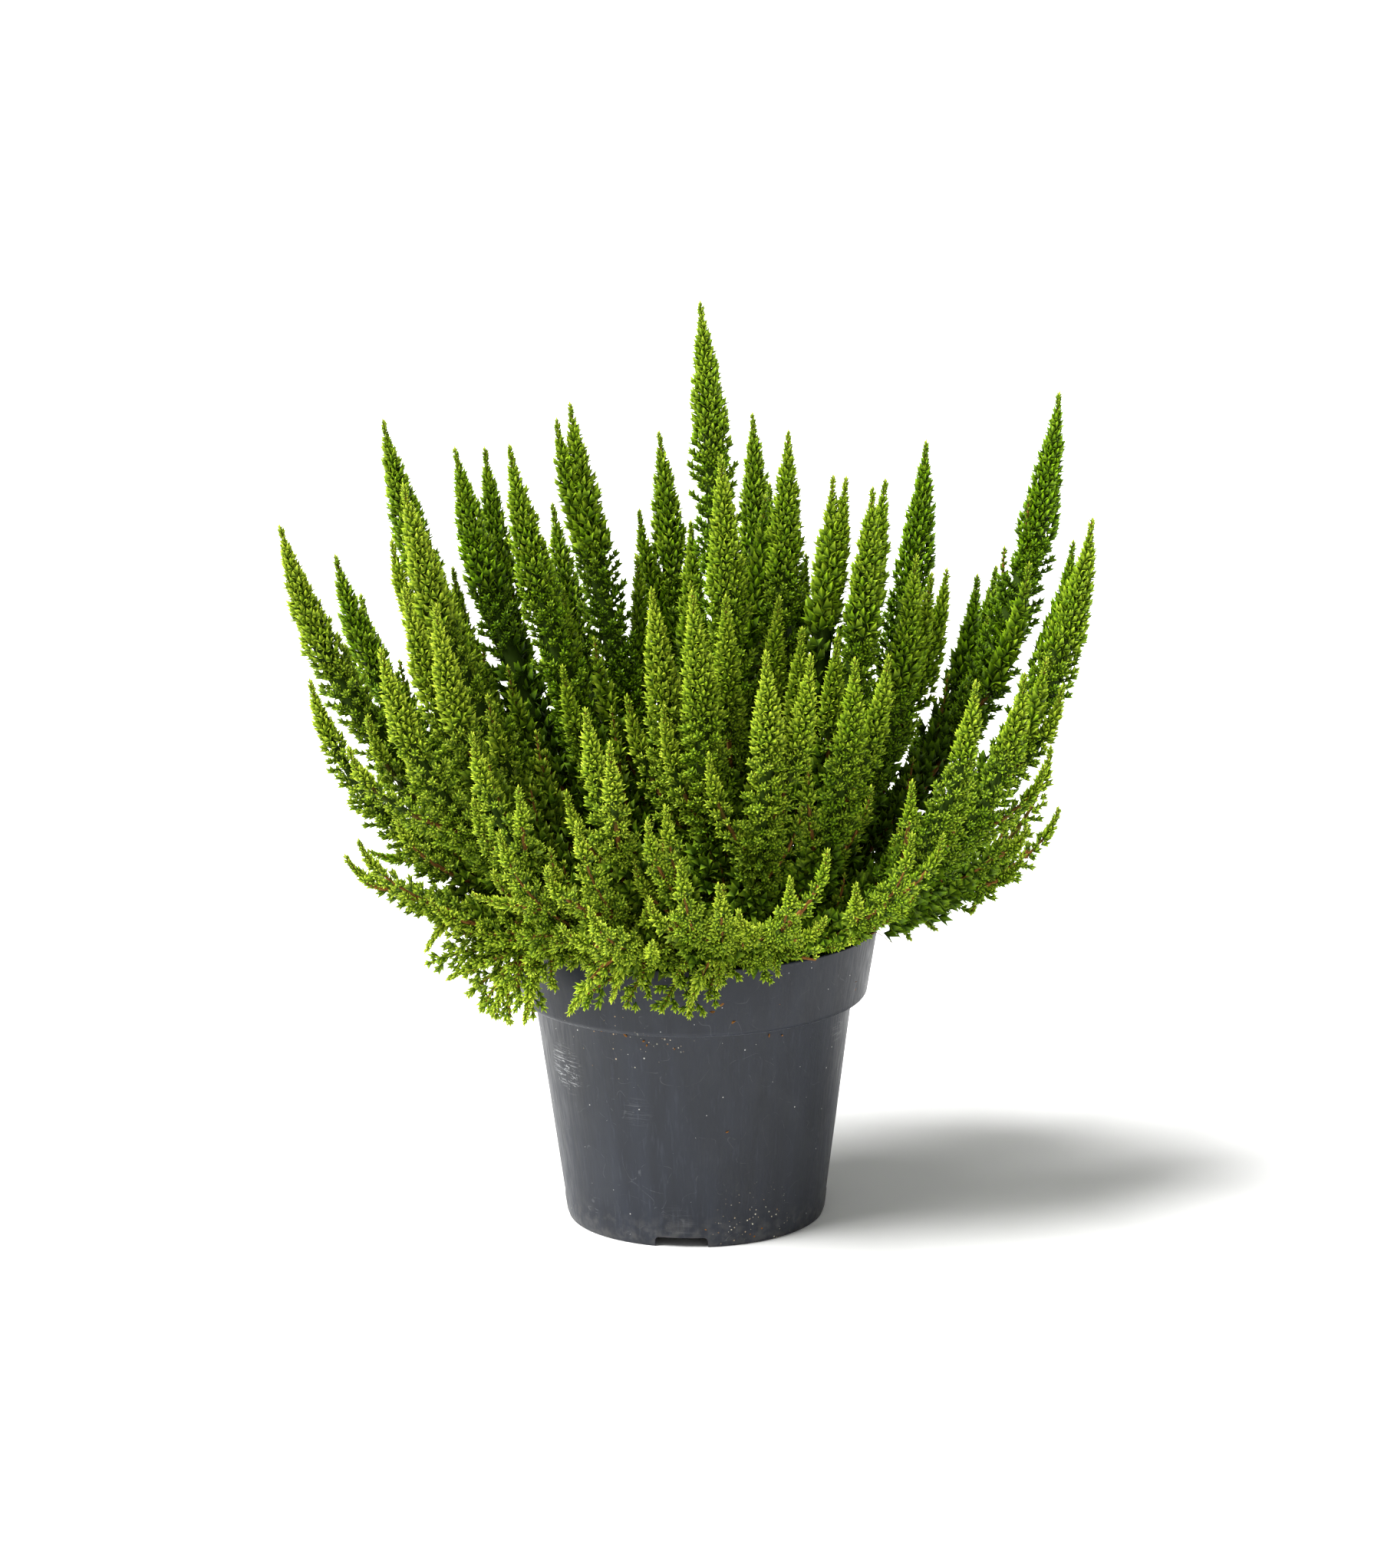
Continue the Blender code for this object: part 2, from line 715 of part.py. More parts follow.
def main():
    clear_scene()
    parts = new_collection("Potted heather")
    cutters = new_collection("Cutters")
    plastic = new_material("pot plastic", (0.055, 0.060, 0.068), 0.45)
    earth = new_material("soil", (0.030, 0.020, 0.014), 0.95)
    bark = new_material("bark", (0.160, 0.070, 0.035), 0.80)
    leaf = new_material("heather leaf", (0.120, 0.260, 0.022), 0.60)
    make_pot(parts, cutters, plastic)
    make_soil(parts, cutters, earth)
    shoots = all_shoots()
    share_room(shoots)
    for node in sorted({shoot.node for shoot in shoots}):
        group = [shoot for shoot in shoots if shoot.node == node]
        make_shoot_node(f"leafy_shoot_{node:02d}", group, parts, leaf)
    make_woody_stems(shoots, parts, bark)


main()
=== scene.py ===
"""Potted heather: fine leafy shoots, woody stems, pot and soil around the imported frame.

Blender 4.5, in metres, +Z up. The origin lies on the ground, on the pot's axis; -Y is the front.
"""

import math
import random

import bmesh
import bpy
import numpy as np
from mathutils import Matrix, Vector, noise


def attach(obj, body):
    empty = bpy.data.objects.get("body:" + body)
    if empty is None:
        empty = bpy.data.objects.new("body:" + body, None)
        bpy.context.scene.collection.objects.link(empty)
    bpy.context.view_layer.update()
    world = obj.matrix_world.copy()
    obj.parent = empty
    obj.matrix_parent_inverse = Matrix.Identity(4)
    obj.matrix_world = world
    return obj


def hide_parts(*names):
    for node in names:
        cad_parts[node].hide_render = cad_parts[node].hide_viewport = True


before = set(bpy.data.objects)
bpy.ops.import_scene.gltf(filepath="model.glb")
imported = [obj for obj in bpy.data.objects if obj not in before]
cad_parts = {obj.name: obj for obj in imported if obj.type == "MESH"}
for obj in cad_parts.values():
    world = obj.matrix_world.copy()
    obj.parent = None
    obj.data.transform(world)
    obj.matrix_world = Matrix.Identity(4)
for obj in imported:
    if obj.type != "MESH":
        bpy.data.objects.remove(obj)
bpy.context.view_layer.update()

MM = 0.001
SEED = 7

# Pot
POT_HEIGHT = 0.182
RIM_RADIUS = 0.113
COLLAR_BOTTOM = 0.1387
COLLAR_BOTTOM_RADIUS = 0.1064
COLLAR_ROUNDING = 0.0038
BODY_TOP_RADIUS = 0.0972
BODY_MIDDLE = 0.075
FOOT_RADIUS = 0.0786
WALL = 0.0018
FOOT_WALL = 0.0026
FLOOR_RISE = 0.008
FLOOR_CORNER = 0.003
POT_STEPS = 144
EDGE_ROUNDING = 0.0014
FILLET_REACH = 0.0010
FILLET_MIDDLE = 0.0003
FILLET_DROP = 0.0012
BAND_HEIGHT = 0.0125
BAND_STEP = 0.0004
BAND_EDGE = (0.0006, 0.0002)
BAND_FOOT = 0.004
POT_SHARP = 35
GAP = 0.0003

# Notches in the foot and drain holes in the floor
NOTCH_COUNT = 3
NOTCH_WIDTH = 0.032
NOTCH_HEIGHT = 0.0065
NOTCH_ROUNDING = 0.0025
NOTCH_DEPTH = 0.0208
NOTCH_AZIMUTH = math.radians(-96.7)
DRAIN_COUNT = 6
DRAIN_RADIUS = 0.006
DRAIN_RING = 0.052
DRAIN_AZIMUTH = math.radians(21)

# Soil and root crown
SOIL_TOP = 0.160
SOIL_EDGE_DROP = 0.003
SOIL_ROUGH_BAND = 0.0035
SOIL_GRAIN_BAND = 0.006
CROWN_PLACE = (0.018, 0.0)
CROWN_RADIUS = 0.020
CROWN_BOTTOM = 0.118
CROWN_TOP = 0.170
CROWN_LUMP = 0.006
CROWN_UNEVEN = (0.95, 0.04)
CROWN_DOME = ((0.0, 0.004), (0.3, 0.0036), (0.6, 0.002), (0.85, -0.001))
CROWN_SIDE = ((0.0004, -0.006), (0.0010, -0.024))
CROWN_TAPER = (0.002, 0.012)
SOIL_RINGS = 26
SOIL_STEPS = 80
SOIL_LUMP = 0.009
SOIL_ROUGHNESS = 0.0024

# Grains on the soil: radius, proportions, how many, and material
GRAINS = {
    "Crumb": (0.0016, (1.0, 1.0, 0.8), 900, "soil"),
    "Chip": (0.0030, (1.5, 0.7, 0.35), 150, "bark"),
    "Perlite": (0.0012, (1.0, 0.9, 0.9), 90, "perlite"),
}
GRAIN_TURN = (0.7, 0.7, math.tau)
GRAIN_SIZES = (0.5, 1.4)
GRAIN_UNEVEN = (0.70, 1.20)

# Woody stems
STEM_START_SHARE = 0.07
STEM_START_HEIGHT = 0.168
STEM_BASE_RADIUS = 0.0024
STEM_END_RADIUS = 0.0014
STEM_OVERLAP = 0.075
STEM_POINTS = 26
STEM_SIDES = 8
STEM_SHARP = 50
KNOBS = 0.16

# Bits of bark and leaf that cling to the pot's outside: azimuth in degrees, height, length and
# width in millimetres, and tilt in degrees
CLINGING_BITS = (
    (-81.1, 160.0, 5.2, 1.8, 35), (-115.0, 136.4, 3.6, 1.5, -40), (-108.0, 133.5, 2.2, 1.4, 20),
    (-107.0, 131.0, 1.8, 1.2, 75), (-77.6, 75.0, 2.4, 1.1, 12), (-62.5, 134.5, 3.0, 0.8, 82),
    (-124.5, 137.0, 1.6, 1.2, 10), (-57.0, 133.0, 1.3, 1.0, 30), (-97.0, 129.5, 1.4, 1.0, 55),
    (-60.5, 9.0, 1.6, 1.1, 15), (-66.0, 6.5, 1.3, 1.0, 70), (-86.0, 12.0, 1.5, 1.0, -20),
    (-64.0, 4.5, 1.8, 1.2, 40), (150.0, 120.0, 3.0, 1.4, 25), (60.0, 128.0, 2.6, 1.4, -30),
)

# A thin dead root that hangs over the rim
ROOT_PATH = (
    (0.1010, -0.0360, 0.1630), (0.1040, -0.0375, 0.1760), (0.1070, -0.0385, 0.1835),
    (0.1105, -0.0395, 0.1850), (0.1140, -0.0405, 0.1832), (0.1175, -0.0410, 0.1802),
    (0.1205, -0.0414, 0.1786),
)
ROOT_RADIUS = 0.00035
ROOT_POINTS = 25
ROOT_SIDES = 6
BIT_THICKNESS = 0.0007

# Leafy shoots
PATH_SAMPLES = 61
MAIN_WIDEST = 0.0155
SIDE_WIDEST = 0.0120
SPRIG_WIDEST = 0.0066
SPIKE_TAPER = 3.1
LEAFY_SHARE = 0.93
LONGEST_LEAFY = 0.330
FORK_MARGIN = 0.010
NEARLY_PARALLEL = 0.2

# Shoots whose tips the photograph shows, in millimetres: across, away from the viewer, up.
# Each row is a main shoot's tip, then its side shoots as (share of the main shoot's path, tip).
SEEN_SHOOTS = (
    # Left
    ((-244, -10, 434), ()),
    ((-217, 70, 401), ((0.55, (-204, 110, 369)),)),
    ((-225, -60, 350), ()),
    ((-185, 60, 486), ()),
    ((-168, -40, 463), ((0.66, (-176, -30, 428)),)),
    ((-158, 20, 422), ()),
    ((-166, -90, 410), ((0.55, (-147, -110, 404)),)),
    ((-141, 50, 470), ((0.60, (-124, 80, 465)),)),
    ((-107, 20, 476), ()),
    ((-179, -120, 380), ((0.55, (-198, -130, 325)),)),
    # Middle
    ((-85, 150, 418), ((0.72, (-91, 132, 400)),)),
    ((-71, 60, 495), ((0.80, (-79, 56, 486)),)),
    ((-17, 110, 469), ((0.66, (-30, 100, 422)), (0.50, (2, 68, 420)))),
    ((9, 20, 561), ()),
    ((20, -30, 476), ((0.45, (22, -62, 398)),)),
    ((41, 120, 478), ((0.55, (51, 84, 440)),)),
    ((61, 10, 484), ((0.50, (72, 38, 404)),)),
    ((-22, -72, 405), ()),
    ((2, -110, 410), ()),
    # Right
    ((87, -10, 460), ((0.78, (95, -10, 459)),)),
    ((110, -30, 456), ((0.72, (118, -14, 458)),)),
    ((146, 60, 469), ()),
    ((136, -20, 413), ((0.55, (156, 10, 399)), (0.72, (146, -8, 400)))),
    ((178, 70, 384), ((0.62, (190, 88, 386)),)),
    ((226, 45, 500), ((0.76, (207, 36, 437)), (0.66, (193, 48, 405)))),
    ((241, -20, 434), ((0.52, (233, 22, 413)), (0.46, (222, -44, 338)))),
    ((195, -110, 359), ((0.55, (208, -92, 300)),)),
    ((165, -140, 361), ()),
    ((44, -140, 380), ((0.55, (70, -132, 376)),)),
    ((96, -120, 371), ((0.58, (116, -102, 369)),)),
    # Front, low
    ((-60, -170, 354), ((0.60, (-46, -184, 337)),)),
    ((-126, -150, 336), ((0.60, (-99, -162, 307)),)),
    ((-66, -172, 288), ((0.52, (-84, -172, 262)),)),
    ((-15, -172, 297), ((0.62, (-25, -178, 291)),)),
    ((-7, -196, 270), ()),
    ((15, -190, 255), ((0.40, (14, -146, 178)), (0.45, (-4, -148, 166)))),
    ((56, -188, 258), ((0.60, (78, -172, 270)), (0.42, (50, -140, 184)))),
    ((-59, -198, 244), ((0.46, (-48, -150, 172)), (0.50, (-74, -146, 164)))),
    ((-111, -158, 280), ((0.60, (-128, -136, 238)),)),
    ((127, -160, 276), ((0.60, (146, -138, 270)), (0.45, (92, -128, 200)))),
    # Sides, low
    ((-207, -60, 243), ((0.62, (-189, -38, 229)),)),
    ((-196, -100, 262), ((0.50, (-160, -74, 184)),)),
    ((221, -30, 260), ((0.56, (168, -24, 190)),)),
    ((214, -58, 304), ((0.58, (198, -84, 262)),)),
)

# Shoots that hang over the rim, in millimetres: tip, height of the curve's crest, side shoots
HANGING_SHOOTS = (
    ((-120, -100, 150), 238, ((0.66, (-148, -78, 168)), (0.62, (-100, -116, 150)))),
    ((134, 8, 166), 238, ((0.66, (150, -6, 176)),)),
)

# Shoots of the back, which the photograph hides, in rows: count, first and last azimuth in
# degrees, distance out and height. Their two side shoots: fork, distance inward and drop.
BACK_ROWS = (
    (5, 44, 146, 188, 358),
    (5, 14, 164, 202, 280),
)
BACK_SIDE_TURN = 8.0
BACK_SIDES = ((0.55, 14, 34), (0.47, 2, 54))
BACK_SPREAD = 5

# Small sprigs that the photograph shows low down and over the rim, in millimetres: the main shoot
# that carries them, then the fork and tip of each
SPRIGS = {
    55: (
        (0.62, (-161, -70, 176)), (0.50, (-141, -80, 211)), (0.56, (-129, -90, 200)),
        (0.60, (-119, -95, 195)), (0.52, (-106, -100, 194)), (0.48, (-99, -108, 186)),
        (0.80, (-127, -85, 150)), (0.86, (-109, -95, 144)), (0.72, (-95, -105, 150)),
        (0.68, (-138, -86, 172)), (0.74, (-118, -98, 170)), (0.58, (-84, -114, 172)),
        (0.78, (-136, -78, 158)), (0.64, (-108, -106, 168)), (0.44, (-83, -112, 191)),
        (0.66, (-150, -74, 182)), (0.84, (-118, -90, 146)), (0.54, (-148, -84, 198)),
        (0.70, (-128, -94, 180)), (0.76, (-104, -102, 158)), (0.62, (-96, -108, 178)),
    ),
    33: (
        (0.30, (-65, -126, 188)), (0.26, (-40, -130, 200)), (0.36, (-84, -132, 206)),
        (0.32, (-78, -112, 190)), (0.28, (-68, -104, 186)),
    ),
    39: ((0.34, (-92, -116, 196)), (0.30, (-82, -104, 188)), (0.40, (-104, -122, 208))),
    34: ((0.28, (-4, -132, 196)), (0.24, (14, -128, 200)), (0.34, (-22, -140, 204))),
    35: ((0.30, (-20, -135, 162)), (0.26, (-3, -130, 157)), (0.34, (-12, -142, 184))),
    36: ((0.28, (8, -135, 169)), (0.32, (21, -140, 185)), (0.24, (30, -126, 192))),
    37: ((0.26, (43, -138, 190)), (0.34, (62, -142, 198)), (0.30, (74, -130, 192))),
    38: (
        (0.34, (-60, -146, 214)), (0.30, (-40, -138, 166)), (0.40, (-58, -152, 186)),
        (0.28, (-71, -122, 163)), (0.46, (-44, -158, 200)), (0.36, (-30, -144, 182)),
    ),
    40: ((0.24, (89, -112, 198)), (0.30, (104, -118, 206)), (0.36, (118, -124, 220))),
    41: ((0.44, (-150, -20, 206)), (0.54, (-176, -40, 218)), (0.70, (-196, -66, 230))),
    42: ((0.40, (-140, -66, 212)), (0.60, (-172, -90, 226)), (0.34, (-122, -70, 204))),
    43: ((0.40, (150, -8, 196)), (0.50, (172, -30, 214)), (0.70, (204, -18, 236))),
    44: ((0.42, (150, -40, 206)), (0.62, (196, -44, 256)), (0.50, (176, -58, 232))),
    56: ((0.60, (140, 2, 186)), (0.74, (128, 14, 172)), (0.50, (122, 6, 200))),
}

# Stretch of the front rim, from left to right, over which no leaf hangs, how far in it begins, and
# how steeply that free space falls away in front of it
BARE_RIM = (0.053, 0.125)
BARE_RIM_DEPTH = 0.004
BARE_RIM_SLOPE = 0.23
BARE_RIM_GAP = 0.0030

# How upright a shoot's upper part is, and how long that part is
TIP_DRIFT = (-0.05, 0.0, 0.0)
TIP_LEAN = 0.05
TIP_LEAN_PER_METRE = 0.45
UPRIGHT_SHARE = 0.74
LOW_UPRIGHT_SHARE = 0.78
LOW_TIP = 0.300
SIDE_UPRIGHT_SHARE = 0.55
SIDE_LEAN = 0.10
CREST_SHARE = 0.75
HANGING_BOW = 0.3
RIM_CLEARANCE = 0.021

# Inner side shoots that fill the plant: where they fork, where along the main shoot they end,
# and how far they turn sideways and inwards from it
INNER_SHOOTS = (
    (0.36, 0.68, 0.9, 0.3),
    (0.46, 0.78, -0.9, 0.3),
    (0.30, 0.60, 0.2, 0.9),
    (0.20, 0.46, -0.5, 0.8),
)
INNER_OFFSET = (0.024, 0.036)
INNER_WIDEST = 0.0105
INNER_FREE = 0.014

# Branchlets of a shoot: area of the shoot's surface for each, and how they change along it
SLIM_RADIUS = 0.0085
FULL_RADIUS = 0.0120
LOW_RADIUS_SHARE = 0.5
SLIM_SEAT = 23e-6
FULL_SEAT = 86e-6
FIRST_SEAT = 0.0024
TIP_RADIUS = 0.0023
TIP_SEAT_SHARE = 0.45
TIP_SEAT_RANGE = (0.006, 0.026)
TIP_BUD_REACH = 0.0044
GOLDEN_ANGLE = math.radians(137.5)
FINE_STEP = 0.0005
BRANCHED_FROM = 0.070
BRANCHED_TO = 0.115
BUDS_BELOW = 0.25
REACH_SHARES = (0.76, 1.10)
BUSHY_SPREAD = (0.10, 0.12)
LIFT_SHARES = (0.70, 1.10)
FEATHERY_BELOW = 0.27
FEATHERY_ABOVE = 0.45
BUD_SLANTS = (0.55, 0.80)
SMALLEST_BUD = 0.65
LARGEST_BUD = 1.60
BUD_ROOM = 0.0025
TUFT_ROOM = 0.004

# Rows of tufts on a twig
CHAIN_STEP = 0.0037
CHAIN_SHARE = 0.80
CHAIN_SIZES = (1.05, 1.25)
CHAIN_BEND = 0.45
CHAIN_JITTER = 0.12
CHAIN_WIDENS = (0.95, 0.2)
CHAIN_WIDTHS = (0.9, 1.1)
# Painted shade: the next value darkens tufts towards the twig's foot, deeper in the foliage
CHAIN_INNER_SHADE = 0.2
TWIG_RADIUS = 0.0005
TWIG_SHARE = 0.9
TWIG_FRESHNESS = 0.3

# Sprigs: where their rows of tufts begin and end, the angle between two side rows, and the reach
# of a side row, which grows with its distance from the tip
SPRIG_TIP = 0.0050
SPRIG_FOOT = 0.004
SPRIG_SIZES = (1.05, 1.2)
SPRIG_JITTER = 0.15
SPRIG_FORKS_FROM = 0.011
SPRIG_FORKS_END = 0.010
SPRIG_FORK_STEP = 0.0044
SPRIG_TURN = math.radians(140)
SPRIG_TURN_SPREAD = 0.3
SPRIG_REACH = (0.6, 0.002, 0.014)
SPRIG_REACH_SHARES = (0.8, 1.2)
SPRIG_SPREAD = 0.8

# Foliage inside the plant, which other shoots cover, in fewer and larger buds
PLANT_CENTRE = np.array([0.01, 0.0, 0.19])
COVER_STEP = 4
COVER_AHEAD = 0.010
COVER_MARGIN = 0.006
LAYERS_TO_HIDE = 3.2
INWARD_LOSS = 0.45
HIDDEN_BELOW = 0.45
HIDDEN_KEEP = 0.90
HIDDEN_SIZE = 2.3
HIDDEN_LEAN = (0.8, 0.4)
# Painted shade: how much darker the leaves of hidden buds are
HIDDEN_SHADE = 0.1
COARSENESS = 1.2

# The stem inside the foliage, wrapped in dense leaves near the tip; the wrapped part is coloured a dark
# green of painted shade
SLIM_CORE_SHARE = 0.28
FULL_CORE_SHARE = 0.50
BUD_COVER = 0.0056
CORE_POINTS = 20
CORE_ENDS = (0.004, 0.003)
CORE_WIDENS = (0.012, 0.050)
CORE_WRAPPED = (0.8 * BRANCHED_FROM, 0.8 * BRANCHED_TO)
CORE_THINS = (0.45, 0.75)
CORE_WAIST = 0.88
CORE_BASE_RADIUS = 0.0005
CORE_GROWTH = 0.0012
GREEN_FROM = 0.0006

# Painted light on the leaf tips of hidden foliage, as a share of that in the open, and the length
# of a sprig's tip that lies in the open
BUD_LIGHT = 0.65
CHAIN_LIGHT = 0.45
HIDDEN_LIGHT = 0.5
CHAIN_DARKENS = 0.5
SPRIG_LIGHT = 0.8
SPRIG_OPEN = 0.02

# Freshness of the leaves with painted shade in it, from 0 for dark to 1 for bright, and what
# changes it: the deep, back and right shades are painted shade, deep in the plant and on the sides
# away from the key light
SHOOT_FRESHNESS = 0.5
SHOOT_SPREAD = 0.12
SPRIG_FRESH_SPREAD = (-0.12, 0.18)
LEAF_SPREAD = 0.22
TIP_FRESHNESS = 0.30
TIP_FRESH_LENGTH = 0.040
DEEP_SHADE = 0.30
DEEP_RANGE = (0.06, 0.20)
BACK_SHADE = 0.38
BACK_RANGE = (-0.04, 0.04)
RIGHT_SHADE = 0.28
RIGHT_RANGE = (-0.05, 0.18)
FRONT_GAIN = 0.06

# Leaf tufts and buds, in millimetres
TUFT_CORE = 1.25
LOOSE_CORE = 0.75
TUFT_INTERVAL = 2.2
TUFT_TIP = 2.8
TUFT_FOOT = 1.5
LEAF_REACH = 3.0
LEAF_LIFT = 2.0
BUD_RING = 1.25
BUD_HEIGHT = 1.7
BUD_TIP = 4.6
BUD_REACH = 2.4
BUD_LIFT = 3.3
THIRD_TURN = 2.0944

# What sits on a shoot, in the order of the numbers that its seats hold
KINDS = ("Tuft", "Loose Tuft", "Bud", "Twig")
TUFT, LOOSE_TUFT, BUD, TWIG = range(4)

# Marks on the pot. Scuffs: centre, radius, fineness and thinness of the lines, strength.
# Areas with many specks: centre, radius and share of the cells that hold one.
SCUFFS = (
    ((-0.077, -0.050, 0.106), 0.019, 75.0, 0.030, 1.15),
    ((-0.034, -0.083, 0.087), 0.012, 130.0, 0.020, 0.11),
    ((-0.073, -0.057, 0.099), 0.006, 200.0, 0.060, 0.70),
    ((0.086, -0.038, 0.126), 0.012, 110.0, 0.030, 0.32),
    ((-0.012, -0.078, 0.016), 0.014, 160.0, 0.022, 0.08),
)
SPECK_AREAS = (
    ((-0.030, -0.092, 0.1365), 0.013, 0.42),
    ((-0.048, -0.084, 0.1370), 0.011, 0.30),
    ((-0.010, -0.096, 0.1365), 0.012, 0.30),
    ((-0.026, -0.092, 0.128), 0.010, 0.20),
    ((0.036, -0.073, 0.007), 0.036, 0.34),
    ((-0.050, -0.084, 0.136), 0.040, 0.05),
)

# Colours, in pairs where a material runs from the first to the second
# Painted shade in part: leaf bases, and the tips of covered leaves, take the first, dark pair
LEAF_INSIDE = ((0.012, 0.032, 0.001), (0.046, 0.105, 0.001))
LEAF_TIPS = ((0.360, 0.660, 0.002), (0.860, 1.000, 0.070))
LEAF_PATCH = (0.050, 0.120, 0.002)
BARK = ((0.090, 0.036, 0.006), (0.300, 0.130, 0.030))
# Painted shade: the wrapped core takes the dark green of foliage in shade
CORE_SHADE_GREEN = (0.022, 0.045, 0.001)
PLASTIC = ((0.004, 0.005, 0.008), (0.016, 0.020, 0.031))
PALE_STREAK = (0.050, 0.055, 0.070)
PALE_CLOUD = (0.038, 0.042, 0.049)
DUST = (0.200, 0.190, 0.165)
SCUFF = (0.340, 0.350, 0.360)
SCRATCH = (0.250, 0.260, 0.270)
SEAM = (0.190, 0.200, 0.215)
PALE_SPECK = (0.420, 0.420, 0.400)
SOIL_SPECKS = ((0.230, 0.130, 0.050), (0.620, 0.600, 0.480))
PEAT = ((0.010, 0.007, 0.005), (0.062, 0.040, 0.026))
FIBRE = (0.180, 0.120, 0.070)
PERLITE = ((0.420, 0.400, 0.360), (0.800, 0.790, 0.760))
WHITE = (1.0, 1.0, 1.0)
PALE_FLOOR = (0.90, 0.90, 0.89)
FLOOR_SIZE = 40.0

# Light of the white room around the plant, and suns: azimuth, elevation, softness, strength
ROOM_LIGHT = 0.36
SUNS = {"key": (-156, 55, 40, 8.0), "fill": (-75, 35, 60, 0.25)}

# Camera, fitted to the photograph
CAMERA_LENS = 118.0
SENSOR_WIDTH = 36.0
CAMERA_DISTANCE = 3.116
CAMERA_ELEVATION = 12.85
CAMERA_ROLL = -0.70
CAMERA_TARGET = (0.00065, 0.0, 0.269)


# Paths of the shoots


def curve(start, control, tip):
    """Samples of the curve that leaves start towards control and ends at tip."""
    t = np.linspace(0.0, 1.0, PATH_SAMPLES)[:, None]
    return (1 - t) ** 2 * start + 2 * t * (1 - t) * control + t**2 * tip


class Shoot:
    """One shoot: its path from start to tip, and its leafy radius along the path."""

    def __init__(self, node, points, widest, side=False, small=False):
        self.node = node
        self.side = side
        self.small = small
        self.points = points
        steps = np.linalg.norm(np.diff(points, axis=0), axis=1)
        self.to_tip = np.concatenate([np.cumsum(steps[::-1])[::-1], [0.0]])
        self.length = self.to_tip[0]
        self.radius = widest * (1 - np.exp(-self.to_tip / (SPIKE_TAPER * widest)))
        self.leafy_length = self.length if side else min(LEAFY_SHARE * self.length, LONGEST_LEAFY)
        self.feathery = float(1 - smooth_share(points[-1][2], FEATHERY_BELOW, FEATHERY_ABOVE))
        self.along, self.across, self.over = turning_frames(points)

    def fine_rows(self):
        """Point, direction, two directions across and radius at every half millimetre from the tip."""
        distance = np.arange(0.0, self.length, FINE_STEP)
        columns = []
        for values in (self.points, self.along, self.across, self.over):
            columns.append([Vector(row) for row in self.read(values, distance)])
        return list(zip(*columns, self.read(self.radius, distance).tolist()))

    def read(self, values, distance):
        """Values along the path, read at distances from the tip."""
        at = self.to_tip[::-1]
        if values.ndim == 1:
            return np.interp(distance, at, values[::-1])
        columns = [np.interp(distance, at, values[::-1, i]) for i in range(values.shape[1])]
        return np.stack(columns, axis=-1)


def turning_frames(points):
    """The path's direction, and two directions across it that are carried along without twist."""
    along = unit(np.gradient(points, axis=0))
    first = np.cross(along[0], (0.0, 1.0, 0.0))
    if np.linalg.norm(first) < NEARLY_PARALLEL:
        first = np.cross(along[0], (1.0, 0.0, 0.0))
    across = []
    for direction in along:
        first = unit(first - direction * (first @ direction))
        across.append(first)
    across = np.array(across)
    return along, across, np.cross(along, across)


def outward(tip):
    """Level direction from the root crown to below the tip."""
    flat = np.array([tip[0] - CROWN_PLACE[0], tip[1] - CROWN_PLACE[1], 0.0])
    return flat / max(np.linalg.norm(flat), MM)


def stem_start(tip):
    """Where the stem that leads to this tip leaves the root crown."""
    centre = np.array(CROWN_PLACE)
    start = centre + STEM_START_SHARE * (tip[:2] - centre)
    return np.array([*start, STEM_START_HEIGHT])


def main_path(tip):
    """From the root crown out and then up to the tip."""
    start = stem_start(tip)
    share = LOW_UPRIGHT_SHARE if tip[2] < LOW_TIP else UPRIGHT_SHARE
    upright = share * (tip[2] - start[2])
    lean = TIP_LEAN + TIP_LEAN_PER_METRE * math.hypot(tip[0], tip[1])
    control = tip - upright * (lean * outward(tip) + np.array([0.0, 0.0, 1.0]) + TIP_DRIFT)
    control[2] = max(control[2], POT_HEIGHT + RIM_CLEARANCE)
    return curve(start, control, tip)


def hanging_path(tip, crest):
    """From the root crown over the rim and down outside it."""
    return curve(stem_start(tip), np.array([*(CREST_SHARE * tip[:2]), crest]), tip)


def side_path(fork, tip):
    """From a fork on a main shoot to the side shoot's own tip."""
    rise = tip[2] - fork[2]
    upright = SIDE_UPRIGHT_SHARE * max(rise, 0.0)
    control = tip - upright * (SIDE_LEAN * outward(tip) + np.array([0.0, 0.0, 1.0]))
    if rise < 0:
        control = 0.5 * (fork + tip) + np.array([0.0, 0.0, HANGING_BOW * abs(rise)])
    return curve(fork, control, tip)


def polar(angle, radius, height):
    """The point at this angle round the Z axis."""
    return (radius * math.cos(angle), radius * math.sin(angle), height)


def back_shoots():
    """Main and side tips of the rows at the back."""
    spread = random.Random(SEED)
    rows = []
    for count, first, last, out, height in BACK_ROWS:
        for i in range(count):
            azimuth = first + (last - first) * i / (count - 1)
            turn = BACK_SIDE_TURN if i % 2 else -BACK_SIDE_TURN
            radius = out + spread.uniform(-BACK_SPREAD, BACK_SPREAD)
            top = height + spread.uniform(-BACK_SPREAD, BACK_SPREAD)
            sides = []
            for fork, inward, drop in BACK_SIDES:
                sides.append((fork, polar(math.radians(azimuth + turn), radius - inward, top - drop)))
                turn = -turn
            rows.append((polar(math.radians(azimuth), radius, top), sides))
    return rows


def sample(share):
    """The number of the path's sample at this share of a shoot."""
    return round(share * (PATH_SAMPLES - 1))


def side_shoots(main, sides, small=False):
    """The side shoots of a main shoot, which is leafy from below the lowest fork of a full one."""
    found = []
    for share, tip in sides:
        fork = sample(share)
        if not small:
            main.leafy_length = max(main.leafy_length, main.to_tip[fork] + FORK_MARGIN)
        path = side_path(main.points[fork], np.array(tip) * MM)
        found.append(Shoot(main.node, path, SPRIG_WIDEST if small else SIDE_WIDEST, True, small))
    return found


